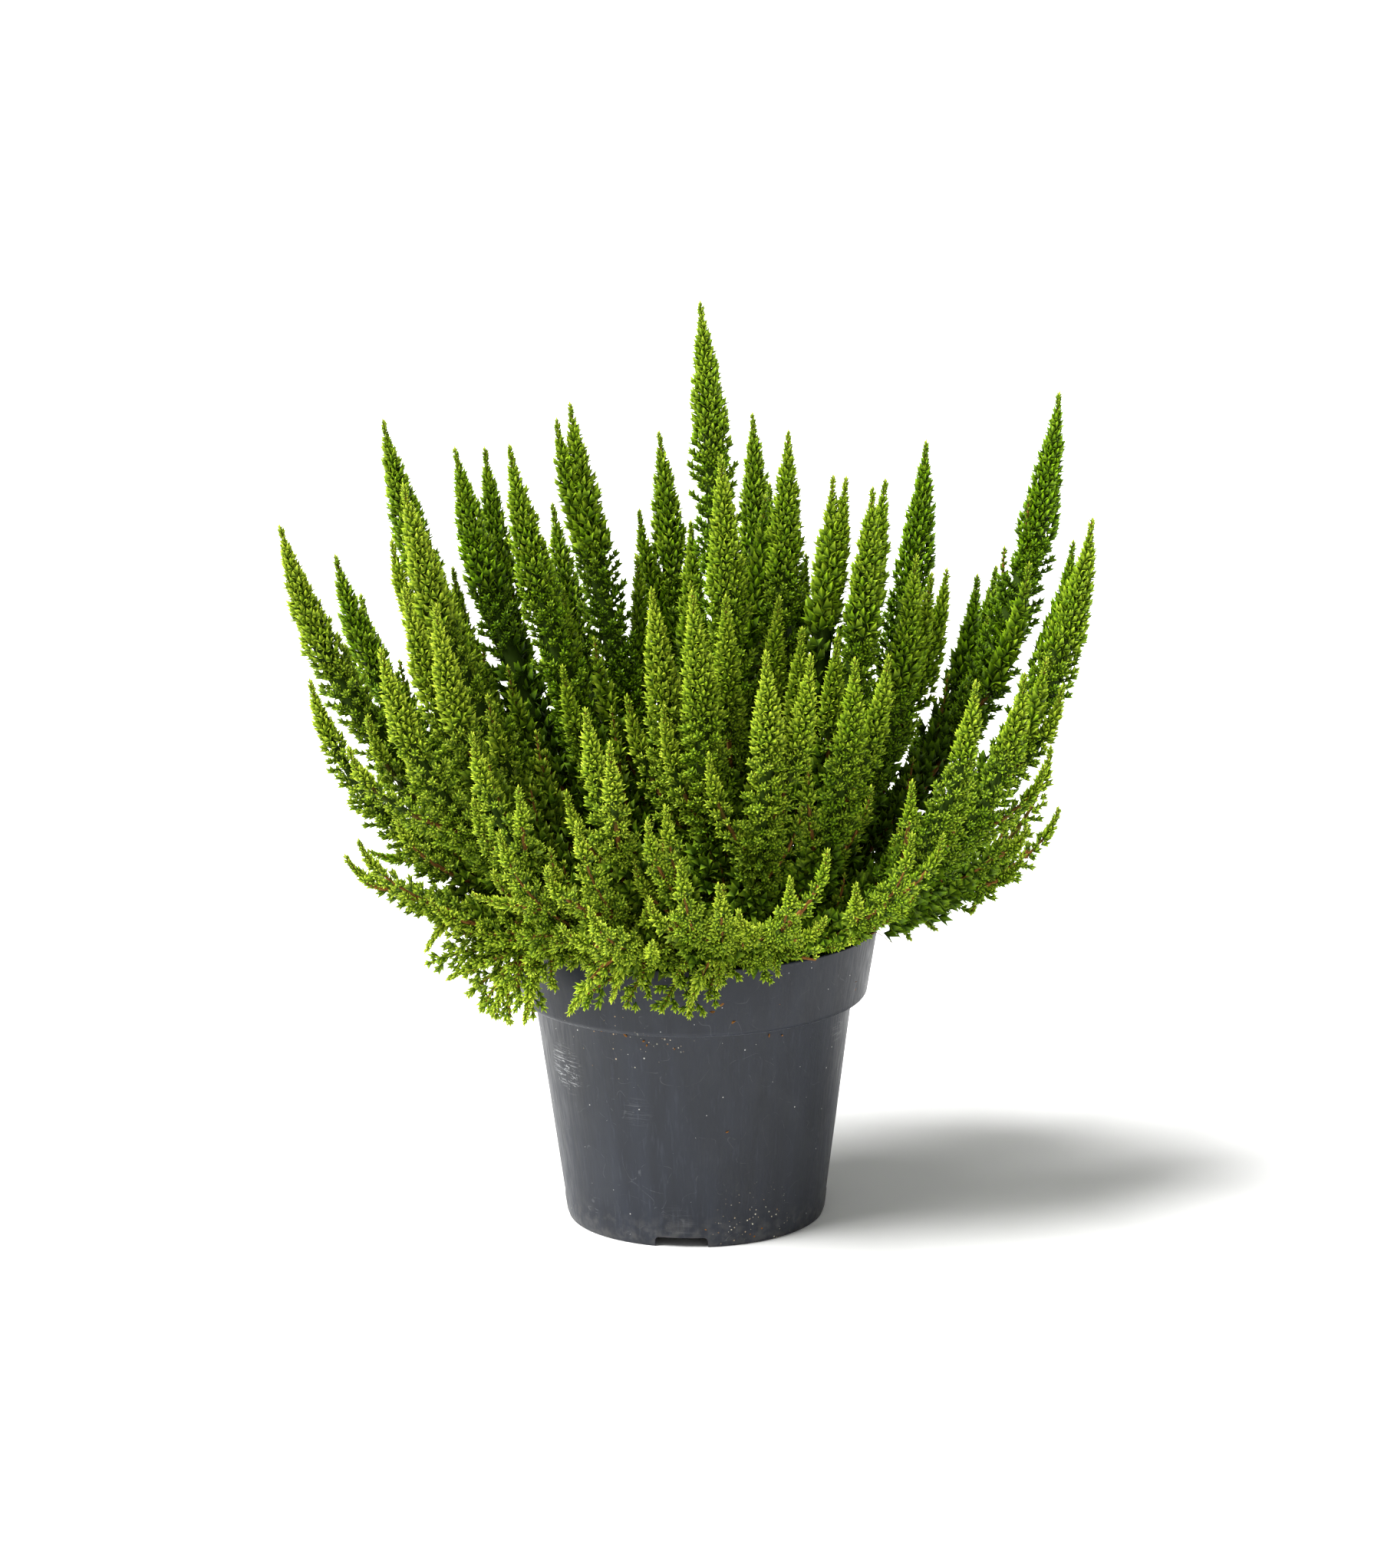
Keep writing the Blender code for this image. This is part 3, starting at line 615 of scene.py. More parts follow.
def inner_shoots(main):
    """Side shoots inside the plant, beside a main shoot and lower than its tip."""
    spread = random.Random(SEED + main.node)
    out = outward(main.points[-1])
    level = np.array([-out[1], out[0], 0.0])
    found = []
    for fork, end, sideways, inward in INNER_SHOOTS:
        offset = spread.uniform(*INNER_OFFSET) * (sideways * level - inward * out)
        tip = main.points[sample(end)] + offset
        if distance_to_wall(tip) > INNER_FREE:
            path = side_path(main.points[sample(fork)], tip)
            found.append(Shoot(main.node, path, INNER_WIDEST, True))
    return found


def all_shoots():
    """Every shoot, each main shoot followed by its side shoots, sprigs and inner shoots."""
    mains = []
    for tip, sides in (*SEEN_SHOOTS, *back_shoots()):
        mains.append((main_path(np.array(tip) * MM), MAIN_WIDEST, sides, inner_shoots))
    for tip, crest, sides in HANGING_SHOOTS:
        mains.append((hanging_path(np.array(tip) * MM, crest * MM), SIDE_WIDEST, sides, None))
    shoots = []
    for node, (path, widest, sides, fill) in enumerate(mains, start=1):
        main = Shoot(node, path, widest)
        shoots += [main, *side_shoots(main, sides), *side_shoots(main, SPRIGS.get(node, ()), small=True)]
        if fill:
            shoots += fill(main)
    return shoots


def distance_to_wall(point):
    """Distance of a point to the pot's collar and to the soil."""
    out = math.hypot(point[0], point[1])
    rise = POT_HEIGHT - COLLAR_BOTTOM
    slope = RIM_RADIUS - COLLAR_BOTTOM_RADIUS
    low = COLLAR_BOTTOM_RADIUS - WALL / 2
    share = ((out - low) * slope + (point[2] - COLLAR_BOTTOM) * rise) / (slope**2 + rise**2)
    share = min(max(share, 0.0), 1.0)
    wall = math.hypot(out - low - share * slope, point[2] - COLLAR_BOTTOM - share * rise) - WALL / 2
    return min(wall, point[2] - SOIL_TOP) if out < RIM_RADIUS else wall


def hangs_over_rim(point):
    """Whether a leaf here would hang over the stretch of the rim that stays bare."""
    if not BARE_RIM[0] < point[0] < BARE_RIM[1]:
        return False
    ahead = -point[1] - math.sqrt(max(RIM_RADIUS**2 - point[0] ** 2, 0.0))
    highest = POT_HEIGHT + BARE_RIM_GAP + BARE_RIM_SLOPE * ahead
    return ahead > -BARE_RIM_DEPTH and point[2] < highest


def has_room(point, gap):
    """Whether a leaf may reach this point without touching the pot or the soil."""
    return distance_to_wall(point) > gap and not hangs_over_rim(point)


# Small helpers


def new_object(name, data):
    item = bpy.data.objects.new(name, data)
    bpy.context.scene.collection.objects.link(item)
    return item


def object_from_bmesh(name, bm):
    mesh = bpy.data.meshes.new(name)
    bm.to_mesh(mesh)
    bm.free()
    return new_object(name, mesh)


def bake_modifiers(item):
    """Turns the object's evaluated shape into its mesh."""
    bpy.context.view_layer.update()
    graph = bpy.context.evaluated_depsgraph_get()
    mesh = bpy.data.meshes.new_from_object(item.evaluated_get(graph))
    item.modifiers.clear()
    item.data = mesh


def unit(vectors):
    return vectors / np.linalg.norm(vectors, axis=-1, keepdims=True)


def smooth_share(value, low, high):
    """0 at low, 1 at high, smooth in between."""
    t = np.clip((value - low) / (high - low), 0.0, 1.0)
    return t * t * (3 - 2 * t)


def turned(name, profile, steps):
    """A profile of (radius, height) points turned round the Z axis."""
    mesh = bpy.data.meshes.new(name)
    points = [(radius, 0.0, height) for radius, height in profile]
    mesh.from_pydata(points, [(i, i + 1) for i in range(len(points) - 1)], [])
    item = new_object(name, mesh)
    screw = item.modifiers.new("Turn", "SCREW")
    screw.axis = "Z"
    screw.angle = math.tau
    screw.steps = steps
    screw.render_steps = steps
    screw.use_merge_vertices = True
    screw.merge_threshold = 0.01 * MM
    bake_modifiers(item)
    return item


def cylinder(name, place, radius, depth, segments):
    """A cylinder that stands on end, centred on this place."""
    bm = bmesh.new()
    bmesh.ops.create_cone(bm, cap_ends=True, segments=segments, radius1=radius, radius2=radius, depth=depth)
    item = object_from_bmesh(name, bm)
    item.location = place
    return item


def cut(item, cutters):
    """Takes these shapes out of the item."""
    for cutter in cutters:
        step = item.modifiers.new("Cut", "BOOLEAN")
        step.operation = "DIFFERENCE"
        step.object = cutter
    bake_modifiers(item)
    for cutter in cutters:
        bpy.data.objects.remove(cutter)


def smooth_shading(item, limit):
    item.data.shade_smooth()
    item.data.set_sharp_from_angle(angle=math.radians(limit))


def arc(centre, radius, first, last, count):
    """Points of (radius, height) round this centre, between two angles in degrees."""
    angles = [math.radians(first + (last - first) * i / (count - 1)) for i in range(count)]
    return [(centre[0] + radius * math.cos(a), centre[1] + radius * math.sin(a)) for a in angles]


# Node trees


SOCKET_TYPES = {float: "Float", int: "Int", tuple: "Vector"}


def new_tree(name, kind, inputs, outputs):
    """An empty node tree, with what its input node gives and its output node takes.

    Inputs are named and given as a default value or a type of socket, outputs as a type.
    """
    tree = bpy.data.node_groups.new(name, kind)
    for label, value in inputs.items():
        word = SOCKET_TYPES.get(type(value), value)
        socket = tree.interface.new_socket(label, in_out="INPUT", socket_type=f"NodeSocket{word}")
        if word != value:
            socket.default_value = value
    for label, word in outputs.items():
        tree.interface.new_socket(label, in_out="OUTPUT", socket_type=f"NodeSocket{word}")
    return tree, add(tree, "NodeGroupInput").outputs, add(tree, "NodeGroupOutput").inputs


def geometry_tree(name, inputs):
    """A Geometry Nodes tree that takes and gives geometry, with these other inputs."""
    geometry = {"Geometry": "Geometry"}
    return new_tree(name, "GeometryNodeTree", {**geometry, **inputs}, geometry)


def shader_group(name, inputs, outputs=("Mask",)):
    """A shader group that takes a vector and these other inputs, and gives these values."""
    inputs = {"Vector": "Vector", **inputs}
    return new_tree(name, "ShaderNodeTree", inputs, dict.fromkeys(outputs, "Float"))


def connect(tree, sockets, values):
    """Gives sockets, by name or number, constants or the outputs of other nodes."""
    for label, value in values.items():
        if isinstance(value, bpy.types.NodeSocket):
            tree.links.new(value, sockets[label])
        elif sockets[label].type == "RGBA":
            sockets[label].default_value = (*value, 1.0)
        else:
            sockets[label].default_value = value


def add(tree, kind, values=None, **settings):
    """A new node with these settings and input values."""
    node = tree.nodes.new(kind)
    for name, setting in settings.items():
        setattr(node, name, setting)
    connect(tree, node.inputs, values or {})
    return node


def calculated(tree, operation, first, second, clamp=False):
    values = {0: first, 1: second}
    return add(tree, "ShaderNodeMath", values, operation=operation, use_clamp=clamp).outputs[0]


def stored(tree, name, data_type):
    """A value that the seats or paths hold, read in a Geometry Nodes tree."""
    node = add(tree, "GeometryNodeInputNamedAttribute", {"Name": name}, data_type=data_type)
    return node.outputs["Attribute"]


def painted(tree, geometry, material):
    values = {"Geometry": geometry, "Material": material}
    return add(tree, "GeometryNodeSetMaterial", values).outputs["Geometry"]


def give_geometry(tree, result, geometry):
    """Ends a Geometry Nodes tree, which gives real geometry and no instances."""
    real = add(tree, "GeometryNodeRealizeInstances", {"Geometry": geometry})
    connect(tree, result, {"Geometry": real.outputs["Geometry"]})


def run_nodes(item, tree, values):
    """Keeps what the tree makes of the item. Inputs are found by name and set by identifier."""
    modifier = item.modifiers.new(tree.name, "NODES")
    modifier.node_group = tree
    for socket in tree.interface.items_tree:
        if socket.item_type == "SOCKET" and socket.in_out == "INPUT" and socket.name in values:
            modifier[socket.identifier] = values[socket.name]
    bake_modifiers(item)


# Pot


def body_radius(height):
    """Outer radius of the pot below its collar."""
    return FOOT_RADIUS + (BODY_TOP_RADIUS - FOOT_RADIUS) * height / COLLAR_BOTTOM


def collar_radius(height):
    low = COLLAR_BOTTOM + COLLAR_ROUNDING
    return COLLAR_BOTTOM_RADIUS + (RIM_RADIUS - COLLAR_BOTTOM_RADIUS) * (height - low) / (POT_HEIGHT - low)


def pot_profile():
    floor_top = FLOOR_RISE + WALL
    shelf = COLLAR_BOTTOM + WALL
    lip = WALL / 2
    corner = (COLLAR_BOTTOM_RADIUS - COLLAR_ROUNDING, COLLAR_BOTTOM + COLLAR_ROUNDING)
    under = COLLAR_BOTTOM - FILLET_DROP
    return [
        (0.0, floor_top),
        (0.5 * FOOT_RADIUS, floor_top),
        (body_radius(floor_top) - WALL - FLOOR_CORNER, floor_top),
        (body_radius(floor_top) - WALL, floor_top + FLOOR_CORNER),
        (body_radius(shelf) - WALL, shelf),
        *arc((corner[0] - WALL, corner[1] + WALL), COLLAR_ROUNDING, -90, 0, 6),
        *arc((RIM_RADIUS - lip, POT_HEIGHT - lip), lip, 180, 0, 9),
        *arc(corner, COLLAR_ROUNDING, 0, -90, 9),
        (BODY_TOP_RADIUS + FILLET_REACH, COLLAR_BOTTOM),
        (BODY_TOP_RADIUS + FILLET_MIDDLE, COLLAR_BOTTOM - FILLET_MIDDLE),
        (body_radius(under), under),
        (body_radius(BODY_MIDDLE), BODY_MIDDLE),
        (body_radius(BAND_HEIGHT + BAND_EDGE[0]), BAND_HEIGHT + BAND_EDGE[0]),
        (body_radius(BAND_HEIGHT) + BAND_STEP, BAND_HEIGHT - BAND_EDGE[1]),
        (body_radius(BAND_FOOT) + BAND_STEP, BAND_FOOT),
        *arc((FOOT_RADIUS - EDGE_ROUNDING, EDGE_ROUNDING), EDGE_ROUNDING, 0, -90, 5),
        (FOOT_RADIUS - FOOT_WALL, 0.0),
        (FOOT_RADIUS - FOOT_WALL, FLOOR_RISE),
        (0.5 * FOOT_RADIUS, FLOOR_RISE),
        (0.0, FLOOR_RISE),
    ]


def notch_cutter(azimuth):
    """A block with rounded edges that cuts one notch in the foot."""
    bm = bmesh.new()
    bmesh.ops.create_cube(bm, size=1.0)
    bmesh.ops.scale(bm, vec=(NOTCH_DEPTH, NOTCH_WIDTH, 2 * NOTCH_HEIGHT), verts=bm.verts)
    cutter = object_from_bmesh("notch_cutter", bm)
    cutter.location = polar(azimuth, FOOT_RADIUS, 0.0)
    cutter.rotation_euler = (0.0, 0.0, azimuth)
    rounding = cutter.modifiers.new("Rounding", "BEVEL")
    rounding.width = NOTCH_ROUNDING
    rounding.segments = 5
    return cutter


def make_pot(material):
    pot = turned("nursery_pot", pot_profile(), POT_STEPS)
    cutters = [notch_cutter(NOTCH_AZIMUTH + i * math.tau / NOTCH_COUNT) for i in range(NOTCH_COUNT)]
    for i in range(DRAIN_COUNT):
        place = polar(DRAIN_AZIMUTH + i * math.tau / DRAIN_COUNT, DRAIN_RING, FLOOR_RISE + WALL / 2)
        cutters.append(cylinder("drain_cutter", place, DRAIN_RADIUS, 4 * WALL, 32))
    cut(pot, cutters)
    smooth_shading(pot, POT_SHARP)
    pot.data.materials.append(material)
    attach(pot, "root")
    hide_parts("pot")


# Soil


def soil_profile():
    """Outline of the soil body, with many rings on its rough top."""
    bottom = FLOOR_RISE + WALL + GAP
    shelf = COLLAR_BOTTOM + WALL + GAP
    edge = collar_radius(SOIL_TOP - SOIL_EDGE_DROP) - WALL - 2 * GAP
    top = []
    for i in range(SOIL_RINGS + 1):
        top.append((edge * i / SOIL_RINGS, SOIL_TOP - SOIL_EDGE_DROP * (i / SOIL_RINGS) ** 8))
    return top + [
        (COLLAR_BOTTOM_RADIUS - WALL - COLLAR_ROUNDING - GAP, shelf),
        (body_radius(shelf) - WALL - GAP, shelf),
        (body_radius(bottom) - WALL - GAP, bottom),
        (0.0, bottom),
    ]


def roughen_top(soil):
    """Moves the points of the soil's top up and down by noise."""
    for vertex in soil.data.vertices:
        if vertex.co.z < SOIL_TOP - SOIL_ROUGH_BAND:
            continue
        lump = noise.noise(vertex.co / SOIL_LUMP) + 0.5 * noise.noise(vertex.co / (0.35 * SOIL_LUMP))
        vertex.co.z += SOIL_ROUGHNESS * lump


def grain_object(name, radius, flat, variation):
    """An uneven little lump: a crumb, a chip or a grain."""
    bm = bmesh.new()
    bmesh.ops.create_icosphere(bm, subdivisions=1, radius=radius)
    for vertex in bm.verts:
        vertex.co *= variation.uniform(*GRAIN_UNEVEN)
    bmesh.ops.scale(bm, vec=flat, verts=bm.verts)
    return object_from_bmesh(name, bm)


def scatter_tree():
    """Spreads the grains over the high parts of a surface."""
    inputs = {"Lowest": 0.0, "Seed": SEED}
    for label in GRAINS:
        inputs.update({label: "Object", f"{label} Material": "Material", f"{label} Density": 1000.0})
    tree, given, result = geometry_tree("soil grains", inputs)
    join = add(tree, "GeometryNodeJoinGeometry", {"Geometry": given["Geometry"]})
    position = add(tree, "GeometryNodeInputPosition").outputs["Position"]
    height = add(tree, "ShaderNodeSeparateXYZ", {"Vector": position}).outputs["Z"]
    levels = {0: height, 1: given["Lowest"]}
    high = add(tree, "FunctionNodeCompare", levels, data_type="FLOAT", operation="GREATER_THAN")
    for number, label in enumerate(GRAINS):
        seed = calculated(tree, "ADD", given["Seed"], number)
        points = add(tree, "GeometryNodeDistributePointsOnFaces", {
            "Mesh": given["Geometry"], "Selection": high.outputs["Result"],
            "Density": given[f"{label} Density"], "Seed": seed,
        })
        turn = add(tree, "FunctionNodeRandomValue", {1: GRAIN_TURN, "Seed": seed}, data_type="FLOAT_VECTOR")
        sizes = {2: GRAIN_SIZES[0], 3: GRAIN_SIZES[1], "Seed": seed}
        size = add(tree, "FunctionNodeRandomValue", sizes, data_type="FLOAT")
        info = add(tree, "GeometryNodeObjectInfo", {"As Instance": True, "Object": given[label]})
        grains = add(tree, "GeometryNodeInstanceOnPoints", {
            "Points": points.outputs["Points"], "Instance": info.outputs["Geometry"],
            "Rotation": turn.outputs["Value"], "Scale": size.outputs[1],
        })
        lumps = painted(tree, grains.outputs["Instances"], given[f"{label} Material"])
        connect(tree, join.inputs, {"Geometry": lumps})
    give_geometry(tree, result, join.outputs["Geometry"])
    return tree


def make_soil(materials):
    soil = turned("potting_soil", soil_profile(), SOIL_STEPS)
    roughen_top(soil)
    depth = 2 * (SOIL_TOP - CROWN_BOTTOM) + 2 * GAP
    cut(soil, [cylinder("crown_hole_cutter", (*CROWN_PLACE, SOIL_TOP), CROWN_RADIUS + 2 * GAP, depth, 40)])
    soil.data.materials.clear()
    soil.data.materials.append(materials["soil"])
    variation = random.Random(SEED)
    values = {"Lowest": SOIL_TOP - SOIL_GRAIN_BAND, "Seed": SEED}
    for label, (radius, flat, count, material) in GRAINS.items():
        values[label] = grain_object(label.lower(), radius, flat, variation)
        values[f"{label} Material"] = materials[material]
        values[f"{label} Density"] = count / (math.pi * RIM_RADIUS**2)
    run_nodes(soil, scatter_tree(), values)
    for label in GRAINS:
        bpy.data.objects.remove(values[label])
    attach(soil, "root")
    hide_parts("soil")


# Woody stems and bits on the pot


def crown_object():
    """The knobbly root crown: a low dome, a slightly tapering side and a narrow foot."""
    profile = [(share * CROWN_RADIUS, CROWN_TOP + rise) for share, rise in CROWN_DOME]
    profile += [(CROWN_RADIUS - inset, CROWN_TOP + rise) for inset, rise in CROWN_SIDE]
    profile.append((CROWN_RADIUS - CROWN_TAPER[0], CROWN_BOTTOM + CROWN_TAPER[1]))
    profile += [(share * CROWN_RADIUS, CROWN_BOTTOM + GAP) for share in (0.4, 0.0)]
    crown = turned("crown", profile, 40)
    for vertex in crown.data.vertices:
        wide = CROWN_UNEVEN[0] + CROWN_UNEVEN[1] * noise.noise(vertex.co / CROWN_LUMP)
        vertex.co.x *= wide
        vertex.co.y *= wide
    crown.data.transform(Matrix.Translation((*CROWN_PLACE, 0.0)))
    return crown


def stem_path(shoot):
    """The bare lower part of a main shoot: points, radius and greenness."""
    variation = random.Random(SEED + shoot.node)
    end = max(shoot.leafy_length - STEM_OVERLAP, 0.5 * shoot.length)
    distance = np.linspace(shoot.length, end, STEM_POINTS)
    share = (shoot.length - distance) / shoot.length
    radius = STEM_BASE_RADIUS + (STEM_END_RADIUS - STEM_BASE_RADIUS) * share
    knobs = np.array([1 + KNOBS * variation.uniform(-1, 1) for _ in distance])
    return shoot.read(shoot.points, distance), radius * knobs, np.zeros(len(distance))


def make_woody_stems(shoots, materials):
    """The root crown with its bare branching stems, as one piece."""
    stems = seated_mesh("woody_branches", [], [stem_path(shoot) for shoot in shoots if not shoot.side])
    turn_into_tubes(stems, materials["bark"], STEM_SIDES)
    crown = crown_object()
    bm = bmesh.new()
    bm.from_mesh(crown.data)
    bm.from_mesh(stems.data)
    bpy.data.objects.remove(crown)
    bm.to_mesh(stems.data)
    bm.free()
    smooth_shading(stems, STEM_SHARP)
    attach(stems, "root")
    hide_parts("woody_stems")


def turn_into_tubes(item, material, sides):
    """Turns an object's edges into tubes."""
    tree, given, result = geometry_tree("tubes", {"Bark": "Material", "Stem Sides": 6})
    give_geometry(tree, result, stem_nodes(tree, given))
    run_nodes(item, tree, {"Bark": material, "Stem Sides": sides})


def make_root(materials):
    """The thin dead root over the rim."""
    points = np.array(ROOT_PATH)
    fine = np.linspace(0, len(points) - 1, ROOT_POINTS)
    path = np.stack([np.interp(fine, np.arange(len(points)), points[:, i]) for i in range(3)], axis=1)
    thickness = ROOT_RADIUS * (1 - 0.6 * fine / fine[-1])
    root = seated_mesh("dead_root", [], [(path, thickness, np.zeros(len(fine)))])
    turn_into_tubes(root, materials["bark"], ROOT_SIDES)
    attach(root, "root")


def make_clinging_bits(materials):
    """Small bits of bark that cling to the outside of the pot."""
    variation = random.Random(SEED)
    bits = bmesh.new()
    for azimuth, level, length, width, tilt in CLINGING_BITS:
        height = level * MM
        angle = math.radians(azimuth)
        above = height > COLLAR_BOTTOM + COLLAR_ROUNDING
        radius = collar_radius(height) if above else body_radius(height) + BAND_STEP
        grain = grain_object("bit", 0.5, (length * MM, width * MM, BIT_THICKNESS), variation)
        upright = Matrix.Rotation(angle, 4, "Z") @ Matrix.Rotation(math.radians(90), 4, "Y")
        turn = Matrix.Rotation(math.radians(tilt + 90), 4, "Z")
        grain.data.transform(Matrix.Translation(polar(angle, radius, height)) @ upright @ turn)
        bits.from_mesh(grain.data)
        bpy.data.objects.remove(grain)
    item = object_from_bmesh("clinging_bits", bits)
    item.data.materials.append(materials["bark"])
    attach(item, "root")


# Leaf tufts


def needle(bm, corners, tip):
    """A face raised to a point, which makes a needle leaf."""
    for a, b in ((0, 1), (1, 2), (2, 0)):
        bm.faces.new((corners[a], corners[b], tip))


def round_point(bm, radius, angle, height):
    """A new corner at this angle round the twig."""
    return bm.verts.new(polar(angle, radius, height))


def tuft_mesh(core, variation):
    """A short three-sided twig whose every face is raised to the tip of a needle leaf."""
    bm = bmesh.new()
    turn = math.radians(60)
    low = [round_point(bm, core, i * 2 * turn, 0.0) for i in range(3)]
    high = [round_point(bm, 0.85 * core, turn + i * 2 * turn, TUFT_INTERVAL) for i in range(3)]
    end = bm.verts.new((0.0, 0.0, TUFT_INTERVAL + TUFT_TIP))
    foot = bm.verts.new((0.0, 0.0, -TUFT_FOOT))
    tips = [end]
    for i in range(3):
        j = (i + 1) % 3
        faces = (
            ((low[i], low[j], high[i]), (2 * i + 1) * turn, TUFT_INTERVAL / 3),
            ((high[i], low[j], high[j]), (2 * i + 2) * turn, 2 * TUFT_INTERVAL / 3),
        )
        for corners, facing, height in faces:
            reach = LEAF_REACH * variation.uniform(0.80, 1.08)
            rise = height + LEAF_LIFT * variation.uniform(0.75, 1.20)
            tips.append(round_point(bm, reach, facing + variation.uniform(-0.25, 0.25), rise))
            needle(bm, corners, tips[-1])
        bm.faces.new((high[i], high[j], end))
        bm.faces.new((low[j], low[i], foot))
    return leafy_object("tuft", bm, tips)


def bud_mesh(variation):
    """A short bud of three needle leaves round a pointed middle."""
    bm = bmesh.new()
    turn = math.radians(120)
    ring = [round_point(bm, BUD_RING, i * turn, BUD_HEIGHT) for i in range(3)]
    end = bm.verts.new((0.0, 0.0, BUD_TIP))
    foot = bm.verts.new((0.0, 0.0, 0.0))
    tips = [end]
    for i in range(3):
        j = (i + 1) % 3
        bm.faces.new((ring[i], ring[j], end))
        facing = (i + 0.5) * turn + variation.uniform(-0.3, 0.3)
        tips.append(round_point(bm, BUD_REACH * variation.uniform(0.85, 1.1), facing, BUD_LIFT))
        needle(bm, (ring[j], ring[i], foot), tips[-1])
    return leafy_object("bud", bm, tips)


def leafy_object(name, bm, tips):
    """The finished tuft in metres, with a value that runs from 0 at its twig to 1 at its leaf tips."""
    bmesh.ops.scale(bm, vec=(MM, MM, MM), verts=bm.verts)
    bm.verts.index_update()
    marked = [vertex.index for vertex in tips]
    item = object_from_bmesh(name, bm)
    along = np.zeros(len(item.data.vertices), np.float32)
    along[marked] = 1.0
    store(item.data, "leaf_tip", "FLOAT", along)
    return item


def twig_mesh():
    """A slim three-sided splinter, one unit long."""
    bm = bmesh.new()
    foot = [round_point(bm, 1.0, i * THIRD_TURN, 0.0) for i in range(3)]
    end = bm.verts.new((0.0, 0.0, 1.0))
    for i in range(3):
        bm.faces.new((foot[i], foot[(i + 1) % 3], end))
    bm.faces.new(foot[::-1])
    return object_from_bmesh("twig", bm)


# Where the tufts sit


def seat(kind, place, facing, width, length, fresh_and_shade, depth):
    """One row of a seat's values: kind, place, direction, width, length, freshness with painted shade, and
    depth, the painted light on its leaf tips.
    """
    return (kind, *place, *facing, width, length, fresh_and_shade, depth)


def exposure_of(shoots):
    """For each shoot, how open its path lies towards the outside of the plant: 0 hidden, 1 open."""
    coarse = np.arange(0, PATH_SAMPLES, COVER_STEP)
    points = np.concatenate([shoot.points[coarse] for shoot in shoots])
    radius = np.concatenate([shoot.radius[coarse] for shoot in shoots])
    owner = np.repeat(np.arange(len(shoots)), len(coarse))
    open_share = []
    for index, shoot in enumerate(shoots):
        own = shoot.points[coarse]
        out = unit(own - PLANT_CENTRE)
        gap = points[None] - own[:, None]
        ahead = np.einsum("ijk,ik->ij", gap, out)
        aside = np.linalg.norm(gap - ahead[..., None] * out[:, None], axis=2)
        covers = (ahead > COVER_AHEAD) & (aside < radius[None] + COVER_MARGIN) & (owner[None] != index)
        layers = np.array([len(set(owner[row])) for row in covers])
        share = np.clip(1 - layers / LAYERS_TO_HIDE, 0.0, 1.0)
        open_share.append(np.interp(np.arange(PATH_SAMPLES), coarse, share))
    return open_share


def seat_tufts(shoot, open_share, variation):
    """Places branchlets along a shoot in a golden-angle spiral, and tufts on each of them."""
    rows = shoot.fine_rows()
    opened = shoot.read(open_share, np.arange(len(rows)) * FINE_STEP).tolist()
    seats = []
    distance = FIRST_SEAT
    angle = variation.uniform(0, math.tau)
    # Painted shade: shoots at the back and to the right get darker leaves
    tint = variation.uniform(-SHOOT_SPREAD, SHOOT_SPREAD) - painted_side_shade(shoot)
    while distance < shoot.leafy_length:
        number = min(int(distance / FINE_STEP), len(rows) - 1)
        radius = rows[number][4]
        full = branched_share(shoot, radius, distance)
        coarse = 1 + COARSENESS * (1 - opened[number])
        area = SLIM_SEAT * coarse**2 * (1 - full) + FULL_SEAT * full
        area *= TIP_SEAT_SHARE + (1 - TIP_SEAT_SHARE) * smooth_share(distance, *TIP_SEAT_RANGE)
        seats += branchlet(rows, number, angle, full, opened[number], tint, variation)
        angle += GOLDEN_ANGLE
        distance += area / (math.tau * max(radius, TIP_RADIUS))
    end = rows[0][0] - rows[0][1] * TIP_BUD_REACH
    seats.append(seat(BUD, end, rows[0][1], 1.0, 1.0, 1.0, 1.0))
    return seats


def painted_side_shade(shoot):
    """Painted shade: how much darker a shoot's leaves are at the back and right, away from the key light."""
    across, back = shoot.points[-1][:2]
    painted_back_shade = BACK_SHADE * smooth_share(back, *BACK_RANGE)
    return painted_back_shade + RIGHT_SHADE * smooth_share(across, *RIGHT_RANGE) - FRONT_GAIN


def branched_share(shoot, radius, distance):
    """0 where buds sit on the stem itself, 1 where side branchlets carry the leaves."""
    low = 1 - (1 - LOW_RADIUS_SHARE) * shoot.feathery
    wide = smooth_share(radius, low * SLIM_RADIUS, low * FULL_RADIUS)
    start = 1 - 0.9 * shoot.feathery
    return float(wide * smooth_share(distance, start * BRANCHED_FROM, start * BRANCHED_TO))


def sideways(row, angle):
    """The direction at this angle round a shoot."""
    return math.cos(angle) * row[2] + math.sin(angle) * row[3]


